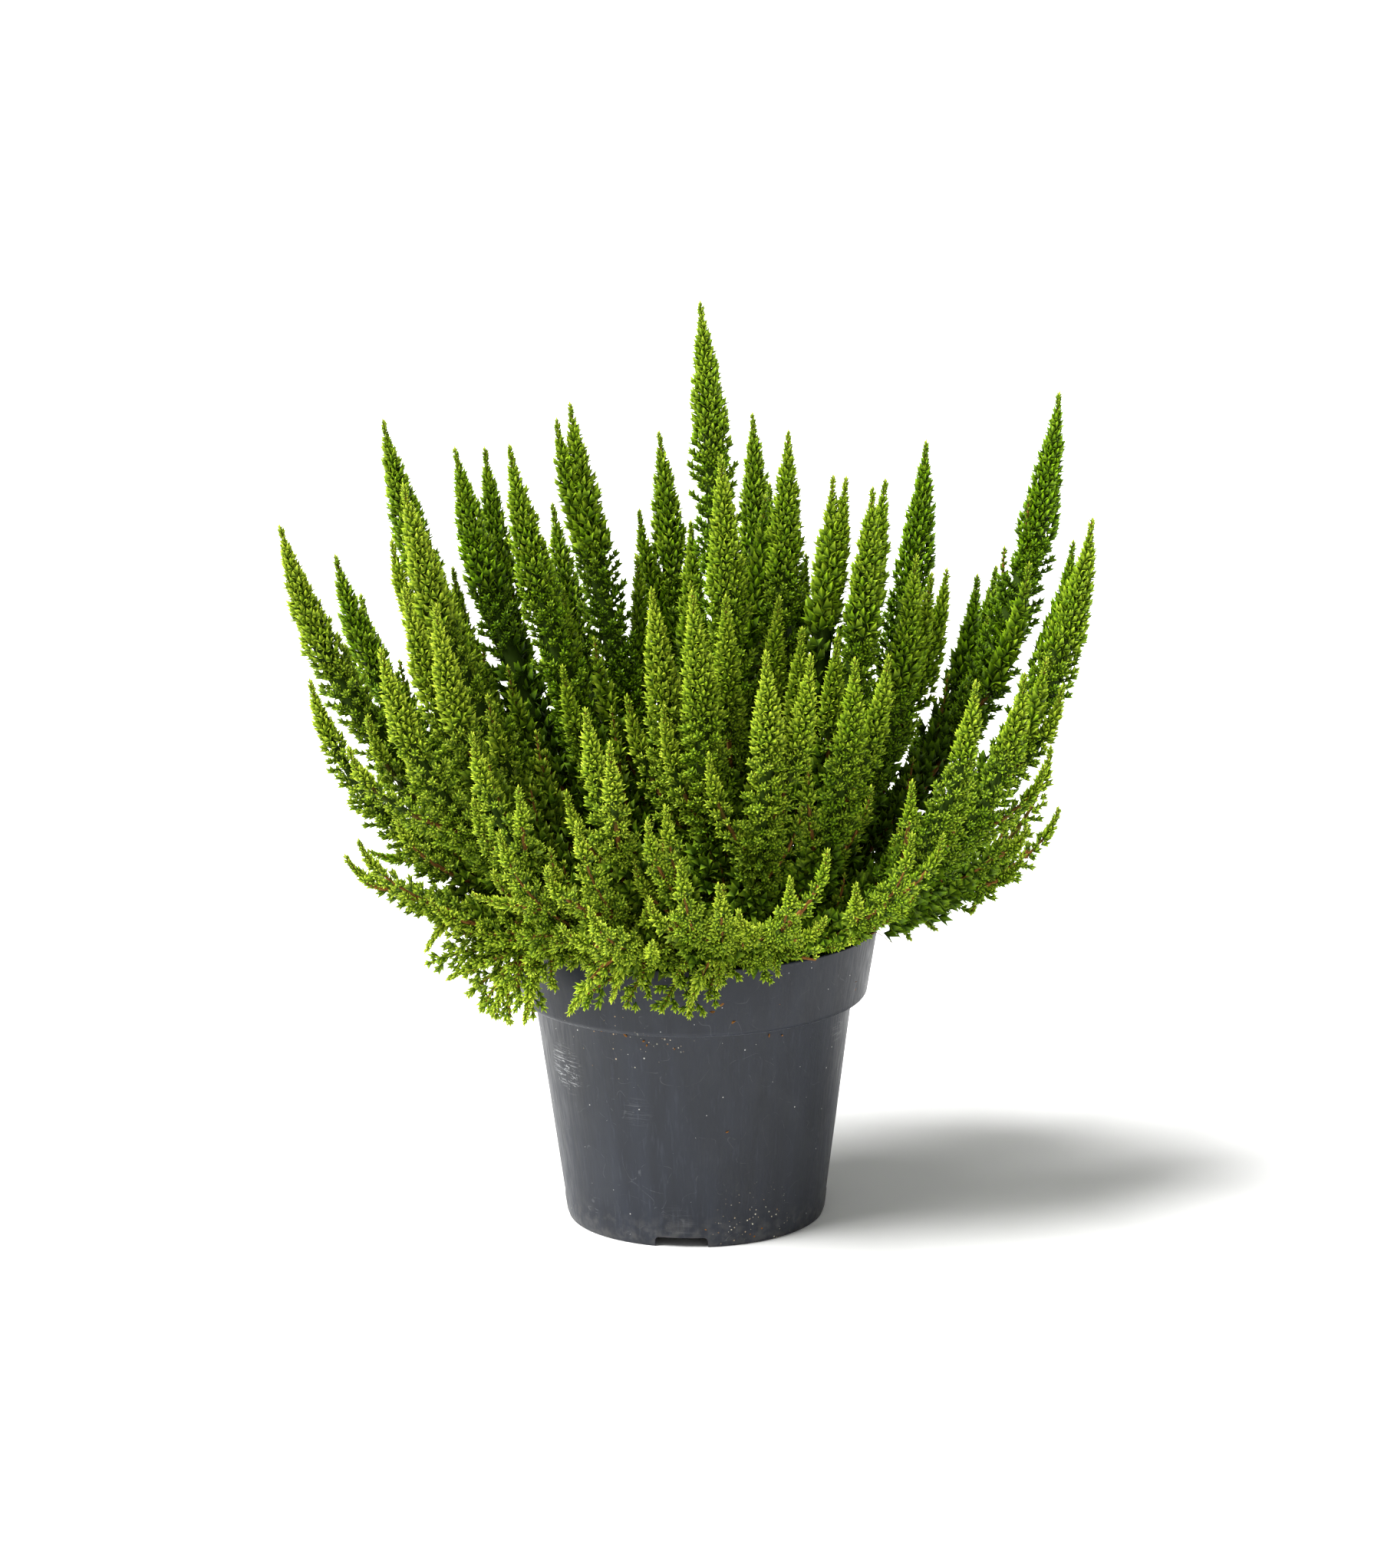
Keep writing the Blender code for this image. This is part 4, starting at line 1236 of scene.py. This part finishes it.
def branchlet(rows, number, angle, full, opened, tint, variation):
    """One branchlet: a bud on the stem near a shoot's tip, a twig of tufts lower down."""
    centre, along = rows[number][:2]
    distance = number * FINE_STEP
    radial = sideways(rows[number], angle)
    fresh_and_shade = SHOOT_FRESHNESS + tint + variation.uniform(-LEAF_SPREAD, LEAF_SPREAD)
    fresh_and_shade += TIP_FRESHNESS * math.exp(-distance / TIP_FRESH_LENGTH)
    # Painted shade: leaves lower down the shoot, deeper in the plant, are darker
    fresh_and_shade -= DEEP_SHADE * smooth_share(distance, *DEEP_RANGE)
    shortest = REACH_SHARES[0] - BUSHY_SPREAD[0] * full
    longest = REACH_SHARES[1] + BUSHY_SPREAD[1] * full
    reach = max(rows[number][4], TIP_RADIUS) * variation.uniform(shortest, longest)
    end = centre + reach * radial
    if not has_room(end, BUD_ROOM):
        return []
    if full < BUDS_BELOW:
        coarse = 1 + COARSENESS * (1 - opened)
        light = BUD_LIGHT + (1 - BUD_LIGHT) * opened
        return [slim_bud(end, along, radial, reach, coarse, fresh_and_shade, light, variation)]
    lift = reach * variation.uniform(*LIFT_SHARES)
    foot = rows[min(number + int(lift / FINE_STEP), len(rows) - 1)][0]
    outside = unit(np.array(centre) - PLANT_CENTRE)
    opened -= INWARD_LOSS * max(0.0, -radial.dot(Vector(outside)))
    if opened > HIDDEN_BELOW:
        light = CHAIN_LIGHT + (1 - CHAIN_LIGHT) * opened
        return chain(foot, end, along, fresh_and_shade, light, variation)
    if variation.random() > HIDDEN_KEEP:
        return []
    facing = ((end - foot).normalized() * HIDDEN_LEAN[0] + along * HIDDEN_LEAN[1]).normalized()
    place = end - facing * BUD_TIP * MM * HIDDEN_SIZE
    # Hidden buds get painted shade: darker leaves and less light on their tips
    return [seat(BUD, place, facing, HIDDEN_SIZE, HIDDEN_SIZE, fresh_and_shade - HIDDEN_SHADE, HIDDEN_LIGHT)]


def slim_bud(end, along, radial, reach, coarse, fresh_and_shade, light, variation):
    """A bud that grows from the stem itself, as all do near the tip of a shoot."""
    slant = variation.uniform(*BUD_SLANTS)
    facing = (radial * slant + along).normalized()
    size = max(reach * math.hypot(1.0, 1 / slant) / (BUD_TIP * MM), SMALLEST_BUD)
    size = min(size, LARGEST_BUD * coarse)
    return seat(BUD, end - facing * BUD_TIP * MM * size, facing, max(size, 0.9), size, fresh_and_shade, light)


def chain(foot, end, along, fresh_and_shade, light, variation):
    """A twig from foot to end with a row of leaf tufts, which bends a little along the shoot."""
    length = (end - foot).length
    stalk = (end - foot) / length
    size = variation.uniform(*CHAIN_SIZES)
    tuft_length = (TUFT_INTERVAL + TUFT_TIP) * MM * size
    found = [seat(TWIG, foot, stalk, TWIG_RADIUS, length * TWIG_SHARE, TWIG_FRESHNESS, 0.0)]
    steps = max(int((CHAIN_SHARE * length - tuft_length) / CHAIN_STEP) + 1, 1)
    for m in range(steps):
        share = m / max(steps, 3)
        way = (stalk + along * CHAIN_BEND * (1 - share) + jitter(CHAIN_JITTER, variation)).normalized()
        place = end - stalk * (m * CHAIN_STEP) - way * tuft_length
        width = size * (CHAIN_WIDENS[0] + CHAIN_WIDENS[1] * share) * variation.uniform(*CHAIN_WIDTHS)
        kind = TUFT if m == 0 else LOOSE_TUFT
        # Painted shade: tufts nearer the twig's foot, deeper in the foliage, get darker leaves and less
        # light on their tips
        depth = light * (1 - CHAIN_DARKENS * share)
        found.append(seat(kind, place, way, width, size, fresh_and_shade - CHAIN_INNER_SHADE * share, depth))
    return found


def jitter(amount, variation):
    """A small random change of direction."""
    return Vector([variation.uniform(-amount, amount) for _ in range(3)])


def seat_sprig(shoot, variation):
    """Tufts in a row along a small sprig, with short side rows by turns on either side."""
    rows = shoot.fine_rows()
    fresh_and_shade = SHOOT_FRESHNESS + variation.uniform(*SPRIG_FRESH_SPREAD) - painted_side_shade(shoot)
    seats = []
    distance = SPRIG_TIP
    size = variation.uniform(*SPRIG_SIZES)
    while distance < shoot.length - SPRIG_FOOT:
        centre, along = rows[int(distance / FINE_STEP)][:2]
        way = (along + jitter(SPRIG_JITTER, variation)).normalized()
        if has_room(centre, TUFT_ROOM):
            # Painted light: leaf tips get full light only on the sprig's open tip
            depth = 1.0 if distance < SPRIG_OPEN else SPRIG_LIGHT
            seats.append(seat(LOOSE_TUFT, centre, way, size, size, fresh_and_shade, depth))
        distance += CHAIN_STEP
    seats.append(seat(BUD, rows[9][0], rows[0][1], 1.1, 1.0, 1.0, 1.0))
    angle = variation.uniform(0, math.tau)
    distance = SPRIG_FORKS_FROM
    growth, shortest, longest = SPRIG_REACH
    while distance < shoot.length - SPRIG_FORKS_END:
        row = rows[int(distance / FINE_STEP)]
        reach = min(growth * distance + shortest, longest) * variation.uniform(*SPRIG_REACH_SHARES)
        end = row[0] + reach * (SPRIG_SPREAD * sideways(row, angle) + row[1])
        if has_room(end, TUFT_ROOM):
            seats += chain(row[0], end, row[1], fresh_and_shade, 1.0, variation)
        angle += SPRIG_TURN + variation.uniform(-SPRIG_TURN_SPREAD, SPRIG_TURN_SPREAD)
        distance += SPRIG_FORK_STEP
    return seats


# Pieces of the plant


def spray_tree():
    """Sets tufts and twigs on seats, and turns the path edges into leafy stems."""
    inputs = {**dict.fromkeys(KINDS, "Object"), **dict.fromkeys(("Leaf", "Bark"), "Material")}
    tree, given, result = geometry_tree("leafy spray", {**inputs, "Stem Sides": 6, "Seed": SEED})
    join = add(tree, "GeometryNodeJoinGeometry")
    roll = add(tree, "FunctionNodeRandomValue", {3: math.tau, "Seed": given["Seed"]}, data_type="FLOAT")
    spin = add(tree, "FunctionNodeAxisAngleToRotation", {"Axis": (0, 0, 1), "Angle": roll.outputs[1]})
    facing = {"Vector": stored(tree, "facing", "FLOAT_VECTOR")}
    aim = add(tree, "FunctionNodeAlignRotationToVector", facing, axis="Z")
    turns = {"Rotation": aim.outputs["Rotation"], "Rotate By": spin.outputs["Rotation"]}
    turn = add(tree, "FunctionNodeRotateRotation", turns, rotation_space="LOCAL")
    for number, label in enumerate(KINDS):
        info = add(tree, "GeometryNodeObjectInfo", {"As Instance": True, "Object": given[label]})
        numbers = {2: stored(tree, "kind", "INT"), 3: number}
        chosen = add(tree, "FunctionNodeCompare", numbers, data_type="INT", operation="EQUAL")
        place = add(tree, "GeometryNodeInstanceOnPoints", {
            "Points": given["Geometry"], "Selection": chosen.outputs["Result"],
            "Instance": info.outputs["Geometry"], "Rotation": turn.outputs["Rotation"],
            "Scale": stored(tree, "size", "FLOAT_VECTOR"),
        })
        connect(tree, join.inputs, {"Geometry": place.outputs["Instances"]})
    leaves = painted(tree, join.outputs["Geometry"], given["Leaf"])
    both = add(tree, "GeometryNodeJoinGeometry", {"Geometry": leaves})
    connect(tree, both.inputs, {"Geometry": stem_nodes(tree, given)})
    give_geometry(tree, result, both.outputs["Geometry"])
    return tree


def stem_nodes(tree, given):
    """Turns the edges of the incoming mesh into tapering tubes with the bark material."""
    path = add(tree, "GeometryNodeMeshToCurve", {"Mesh": given["Geometry"]})
    round_ring = {"Radius": 1.0, "Resolution": given["Stem Sides"]}
    ring = add(tree, "GeometryNodeCurvePrimitiveCircle", round_ring, mode="RADIUS")
    tube = add(tree, "GeometryNodeCurveToMesh", {
        "Curve": path.outputs["Curve"], "Profile Curve": ring.outputs["Curve"],
        "Scale": stored(tree, "thickness", "FLOAT"), "Fill Caps": True,
    })
    return painted(tree, tube.outputs["Mesh"], given["Bark"])


def seated_mesh(name, rows, paths):
    """A mesh of seat points with their values, and of path edges with their thickness."""
    values = np.array(rows, np.float64).reshape(-1, 11)
    points = [values[:, 1:4]]
    edges = []
    thickness = [np.zeros(len(values))]
    fresh_and_shade = [values[:, 9]]
    start = len(values)
    for path, radius, green in paths:
        points.append(path)
        edges += [(start + i, start + i + 1) for i in range(len(path) - 1)]
        thickness.append(radius)
        fresh_and_shade.append(green)
        start += len(path)
    loose = start - len(values)
    mesh = bpy.data.meshes.new(name)
    mesh.from_pydata(np.concatenate(points).tolist(), edges, [])
    store(mesh, "kind", "INT", np.concatenate([values[:, 0], np.full(loose, -1)]).astype(np.int32))
    store(mesh, "facing", "FLOAT_VECTOR", np.concatenate([values[:, 4:7], np.zeros((loose, 3))]))
    size = np.concatenate([values[:, (7, 7, 8)], np.ones((loose, 3))])
    store(mesh, "size", "FLOAT_VECTOR", size)
    store(mesh, "thickness", "FLOAT", np.concatenate(thickness))
    # This value holds the leaves' freshness with painted shade in it, and the stems' greenness
    store(mesh, "fresh_and_shade", "FLOAT", np.concatenate(fresh_and_shade))
    # Painted light on the leaf tips, as a share of full light
    store(mesh, "depth", "FLOAT", np.concatenate([values[:, 10], np.zeros(loose)]))
    return new_object(name, mesh)


def store(mesh, name, kind, values):
    """Gives every point of the mesh its own value."""
    layer = mesh.attributes.new(name, kind, "POINT")
    field = "vector" if kind == "FLOAT_VECTOR" else "value"
    layer.data.foreach_set(field, np.ascontiguousarray(values).ravel())


def leafy_path(shoot):
    """The stem inside a shoot's foliage, wrapped in dense leaves above: points, radius, and greenness, which
    paints the wrapped part a dark green of painted shade.
    """
    distance = np.linspace(shoot.leafy_length + CORE_ENDS[0], CORE_ENDS[1], CORE_POINTS)
    stem = CORE_BASE_RADIUS + CORE_GROWTH * distance / shoot.length
    share = SLIM_CORE_SHARE + (FULL_CORE_SHARE - SLIM_CORE_SHARE) * smooth_share(distance, *CORE_WIDENS)
    leafy = shoot.read(shoot.radius, distance)
    wrapped = 1 - smooth_share(distance, *CORE_WRAPPED)
    core = np.maximum(share * leafy, wrapped * (leafy - BUD_COVER))
    core[::2] *= CORE_WAIST
    inside = 1 - smooth_share(distance, *(share * shoot.leafy_length for share in CORE_THINS))
    inside = inside * (1 - shoot.feathery) * (not shoot.small)
    radius = stem + (np.maximum(core, stem) - stem) * inside
    green = np.clip((radius - stem) / GREEN_FROM, 0.0, 1.0)
    return shoot.read(shoot.points, np.minimum(distance, shoot.length)), radius, green


def make_sprays(shoots, materials):
    """One fine spray for each leafy CAD node."""
    variation = random.Random(SEED)
    shapes = [tuft_mesh(TUFT_CORE, variation), tuft_mesh(LOOSE_CORE, variation)]
    shapes += [bud_mesh(variation), twig_mesh()]
    tree = spray_tree()
    opened = exposure_of(shoots)
    for node in sorted({shoot.node for shoot in shoots}):
        variation = random.Random(SEED + node)
        seats = []
        paths = []
        for shoot, open_share in zip(shoots, opened):
            if shoot.node != node:
                continue
            if shoot.small:
                seats += seat_sprig(shoot, variation)
            else:
                seats += seat_tufts(shoot, open_share, variation)
            paths.append(leafy_path(shoot))
        spray = seated_mesh(f"heather_spray_{node:02d}", seats, paths)
        run_nodes(spray, tree, {
            **dict(zip(KINDS, shapes)),
            "Leaf": materials["leaf"], "Bark": materials["bark"],
            "Stem Sides": 4, "Seed": SEED + node,
        })
        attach(spray, "root")
        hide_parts(f"leafy_shoot_{node:02d}")
    for helper in shapes:
        bpy.data.objects.remove(helper)


# Materials


def new_material(name, **constants):
    """A material, its tree and its shader, with these constants; underscores stand for spaces."""
    material = bpy.data.materials.new(name)
    material.use_nodes = True
    shader = material.node_tree.nodes["Principled BSDF"]
    constants = {label.replace("_", " "): value for label, value in constants.items()}
    connect(material.node_tree, shader.inputs, constants)
    return material, material.node_tree, shader.inputs


def mixed(tree, share, first, second):
    """A colour between two colours, each given as a value or an output."""
    return add(tree, "ShaderNodeMix", {0: share, 6: first, 7: second}, data_type="RGBA").outputs[2]


def over(tree, color, paint, share, strength):
    """The colour with this paint over it, as far as share times strength."""
    return mixed(tree, calculated(tree, "MULTIPLY", share, strength), color, paint)


def object_place(tree):
    return add(tree, "ShaderNodeTexCoord").outputs["Object"]


def noise_value(tree, vector, scale, detail=2.0):
    values = {"Vector": vector, "Scale": scale, "Detail": detail}
    return add(tree, "ShaderNodeTexNoise", values).outputs["Fac"]


def stretched(tree, vector, factors):
    """The vector with each axis multiplied by its own factor."""
    return add(tree, "ShaderNodeVectorMath", {0: vector, 1: factors}, operation="MULTIPLY").outputs["Vector"]


def between(tree, value, low, high, first=0.0, last=1.0):
    """A value moved from the range low to high into the range first to last, held inside it."""
    values = dict(enumerate((value, low, high, first, last)))
    return add(tree, "ShaderNodeMapRange", values, interpolation_type="SMOOTHSTEP").outputs["Result"]


def use_group(tree, group, **values):
    """What a group gives in this tree, with its inputs set or linked by name."""
    return add(tree, "ShaderNodeGroup", values, node_tree=group).outputs


def streak_group():
    """Fine streaks that run up the side of a turned shape."""
    inputs = {"Fineness": 400.0, "Stretch": 0.02}
    group, given, result = shader_group("vertical streaks", inputs, ("Value",))
    fineness = given["Fineness"]
    lengthwise = calculated(group, "MULTIPLY", fineness, given["Stretch"])
    scales = add(group, "ShaderNodeCombineXYZ", {"X": fineness, "Y": fineness, "Z": lengthwise})
    vector = stretched(group, given["Vector"], scales.outputs["Vector"])
    connect(group, result, {"Value": noise_value(group, vector, 1.0, 3.0)})
    return group


def speck_group():
    """Scattered round specks of uneven size: a mask, and a random value for each speck."""
    inputs = {"Cells": 300.0, "Size": 0.2, "Share": 0.1}
    group, given, result = shader_group("specks", inputs, ("Mask", "Random"))
    cells = add(group, "ShaderNodeTexVoronoi", {"Vector": given["Vector"], "Scale": given["Cells"]})
    chance = add(group, "ShaderNodeSeparateColor", {"Color": cells.outputs["Color"]}).outputs
    chosen = calculated(group, "LESS_THAN", chance["Red"], given["Share"])
    size = calculated(group, "MULTIPLY", given["Size"], chance["Green"])
    inside = calculated(group, "LESS_THAN", cells.outputs["Distance"], size)
    mask = calculated(group, "MULTIPLY", chosen, inside)
    connect(group, result, {"Mask": mask, "Random": chance["Blue"]})
    return group


def spot_group():
    """A soft round area about a centre."""
    inputs = {"Centre": (0.0, 0.0, 0.0), "Radius": 0.02}
    group, given, result = shader_group("soft spot", inputs)
    ends = {0: given["Vector"], 1: given["Centre"]}
    gap = add(group, "ShaderNodeVectorMath", ends, operation="DISTANCE")
    share = calculated(group, "DIVIDE", gap.outputs["Value"], given["Radius"])
    connect(group, result, {"Mask": between(group, share, 0.25, 1.0, 1.0, 0.0)})
    return group


def scratch_group():
    """Thin curved scratches, as rubbing leaves them."""
    group, given, result = shader_group("scratches", {"Fineness": 60.0, "Thinness": 0.02})
    field = add(group, "ShaderNodeTexNoise", {
        "Vector": given["Vector"], "Scale": given["Fineness"], "Detail": 1.0, "Distortion": 0.6,
    })
    shifted = calculated(group, "SUBTRACT", field.outputs["Fac"], 0.5)
    away = calculated(group, "ABSOLUTE", shifted, 0.0)
    line = between(group, away, 0.0, given["Thinness"], 1.0, 0.0)
    broken = between(group, noise_value(group, given["Vector"], 240.0), 0.42, 0.62)
    connect(group, result, {"Mask": calculated(group, "MULTIPLY", line, broken)})
    return group


def attribute(tree, name):
    """A value that the mesh's points hold, read in a material."""
    return add(tree, "ShaderNodeAttribute", attribute_name=name).outputs["Fac"]


def leaf_material():
    """Needle leaves: deep green inside, young yellow-green at the tips, darkened by painted shade where
    covered and deep in the plant.
    """
    material, tree, shader = new_material("heather leaf", Roughness=0.60, Specular_IOR_Level=0.20)
    fresh_and_shade = attribute(tree, "fresh_and_shade")
    sharp_tip = calculated(tree, "POWER", attribute(tree, "leaf_tip"), 1.15)
    # Painted shade: the depth value darkens the tips of covered leaves towards the inside colour
    tone = calculated(tree, "MULTIPLY", sharp_tip, attribute(tree, "depth"), clamp=True)
    color = mixed(tree, tone, mixed(tree, fresh_and_shade, *LEAF_INSIDE), mixed(tree, fresh_and_shade, *LEAF_TIPS))
    patch = noise_value(tree, object_place(tree), 60.0)
    connect(tree, shader, {"Base Color": over(tree, color, LEAF_PATCH, patch, 0.30)})
    return material


def pot_material():
    """Dark bluish grey plastic with fine streaks, pale scuffs, dust and specks of potting soil."""
    material, tree, shader = new_material("pot plastic", Specular_IOR_Level=0.31)
    place = object_place(tree)
    streaks = streak_group()
    specks = speck_group()
    spot = spot_group()
    scratches = scratch_group()
    fine = use_group(tree, streaks, Vector=place, Fineness=520.0, Stretch=0.012)["Value"]
    broad = use_group(tree, streaks, Vector=place, Fineness=95.0, Stretch=0.05)["Value"]
    cloud = noise_value(tree, place, 26.0, 4.0)
    color = mixed(tree, broad, *PLASTIC)
    color = mixed(tree, between(tree, fine, 0.50, 0.80, 0.0, 0.30), color, PALE_STREAK)
    color = mixed(tree, between(tree, cloud, 0.52, 0.80, 0.0, 0.20), color, PALE_CLOUD)
    height = add(tree, "ShaderNodeSeparateXYZ", {"Vector": place}).outputs["Z"]
    foot = between(tree, height, 0.004, 0.026, 0.15, 0.0)
    dust = between(tree, noise_value(tree, place, 180.0, 4.0), 0.40, 0.70)
    color = over(tree, color, DUST, foot, dust)
    slanted = stretched(tree, place, (1.0, 1.0, 4.0))
    strokes = use_group(tree, streaks, Vector=place, Fineness=45.0, Stretch=19.0)["Value"]
    strokes = between(tree, strokes, 0.54, 0.70)
    for centre, radius, fineness, thinness, strength in SCUFFS:
        area = use_group(tree, spot, Vector=place, Centre=centre, Radius=radius)["Mask"]
        lines = use_group(tree, scratches, Vector=slanted, Fineness=fineness, Thinness=thinness)["Mask"]
        rubbed = calculated(tree, "MAXIMUM", lines, strokes)
        color = over(tree, color, SCUFF, calculated(tree, "MULTIPLY", area, rubbed), strength)
    lines = use_group(tree, scratches, Vector=place, Fineness=34.0, Thinness=0.0035)["Mask"]
    color = over(tree, color, SCRATCH, lines, 0.13)
    seam = calculated(tree, "ABSOLUTE", calculated(tree, "SUBTRACT", height, COLLAR_BOTTOM), 0.0)
    color = mixed(tree, between(tree, seam, 0.0002, 0.0008, 0.55, 0.0), color, SEAM)
    bits = use_group(tree, specks, Vector=place, Cells=300.0, Size=0.15, Share=0.11)
    color = mixed(tree, bits["Mask"], color, PALE_SPECK)
    for centre, radius, share in SPECK_AREAS:
        area = use_group(tree, spot, Vector=place, Centre=centre, Radius=radius)["Mask"]
        bits = use_group(tree, specks, Vector=place, Cells=620.0, Size=0.34, Share=share)
        color = over(tree, color, mixed(tree, bits["Random"], *SOIL_SPECKS), bits["Mask"], area)
    relief = calculated(tree, "ADD", broad, calculated(tree, "MULTIPLY", fine, 0.3))
    bump = add(tree, "ShaderNodeBump", {"Strength": 0.25, "Distance": 0.0004, "Height": relief})
    connect(tree, shader, {
        "Base Color": color, "Roughness": between(tree, fine, 0.3, 0.8, 0.38, 0.58),
        "Normal": bump.outputs["Normal"],
    })
    return material


def soil_material():
    """Dark damp peat with paler fibres."""
    material, tree, shader = new_material("potting soil", Roughness=0.95)
    place = object_place(tree)
    lumps = noise_value(tree, place, 320.0, 4.0)
    fibres = use_group(tree, scratch_group(), Vector=place, Fineness=420.0, Thinness=0.03)["Mask"]
    color = over(tree, mixed(tree, lumps, *PEAT), FIBRE, fibres, 0.5)
    bump = add(tree, "ShaderNodeBump", {"Distance": 0.0010, "Height": lumps})
    connect(tree, shader, {"Base Color": color, "Normal": bump.outputs["Normal"]})
    return material


def perlite_material():
    material, tree, shader = new_material("perlite", Roughness=0.8)
    color = mixed(tree, noise_value(tree, object_place(tree), 1500.0), *PERLITE)
    connect(tree, shader, {"Base Color": color})
    return material


def bark_material():
    """Brown bark with paler streaks; where leaves wrap the stem, a dark green of painted shade."""
    material, tree, shader = new_material("heather bark", Roughness=0.85, Specular_IOR_Level=0.15)
    brown = mixed(tree, noise_value(tree, object_place(tree), 900.0), *BARK)
    connect(tree, shader, {"Base Color": mixed(tree, attribute(tree, "fresh_and_shade"), brown, CORE_SHADE_GREEN)})
    return material


# Stage, light and camera


def make_stage():
    bm = bmesh.new()
    bmesh.ops.create_grid(bm, x_segments=1, y_segments=1, size=FLOOR_SIZE)
    floor = object_from_bmesh("floor", bm)
    floor.data.materials.append(new_material("pale floor", Base_Color=PALE_FLOOR, Roughness=0.9)[0])


def make_lights():
    """A soft key light, a weak fill, and a white room that looks brighter than it shines."""
    world = bpy.data.worlds.new("studio")
    bpy.context.scene.world = world
    world.use_nodes = True
    tree = world.node_tree
    seen = add(tree, "ShaderNodeLightPath").outputs["Is Camera Ray"]
    strength = calculated(tree, "MAXIMUM", seen, ROOM_LIGHT)
    connect(tree, tree.nodes["Background"].inputs, {"Color": WHITE, "Strength": strength})
    for name, (azimuth, elevation, softness, power) in SUNS.items():
        data = bpy.data.lights.new(name, "SUN")
        data.angle = math.radians(softness)
        data.energy = power
        rise = math.radians(elevation)
        source = Vector(polar(math.radians(azimuth), math.cos(rise), math.sin(rise)))
        new_object(name, data).rotation_euler = source.to_track_quat("Z", "Y").to_euler()


def make_camera():
    data = bpy.data.cameras.new("camera")
    data.lens = CAMERA_LENS
    data.sensor_width = SENSOR_WIDTH
    data.sensor_fit = "AUTO"
    camera = new_object("camera", data)
    elevation = math.radians(CAMERA_ELEVATION)
    back = Vector((0.0, -math.cos(elevation), math.sin(elevation)))
    place = Matrix.Translation(Vector(CAMERA_TARGET) + CAMERA_DISTANCE * back)
    turn = back.to_track_quat("Z", "Y").to_matrix().to_4x4()
    camera.matrix_world = place @ turn @ Matrix.Rotation(math.radians(CAMERA_ROLL), 4, "Z")
    bpy.context.scene.camera = camera


def main():
    materials = {
        "leaf": leaf_material(),
        "bark": bark_material(),
        "soil": soil_material(),
        "perlite": perlite_material(),
    }
    shoots = all_shoots()
    make_pot(pot_material())
    make_soil(materials)
    make_woody_stems(shoots, materials)
    make_root(materials)
    make_clinging_bits(materials)
    make_sprays(shoots, materials)
    make_stage()
    make_lights()
    make_camera()
    bpy.context.scene.view_settings.view_transform = "Standard"


main()
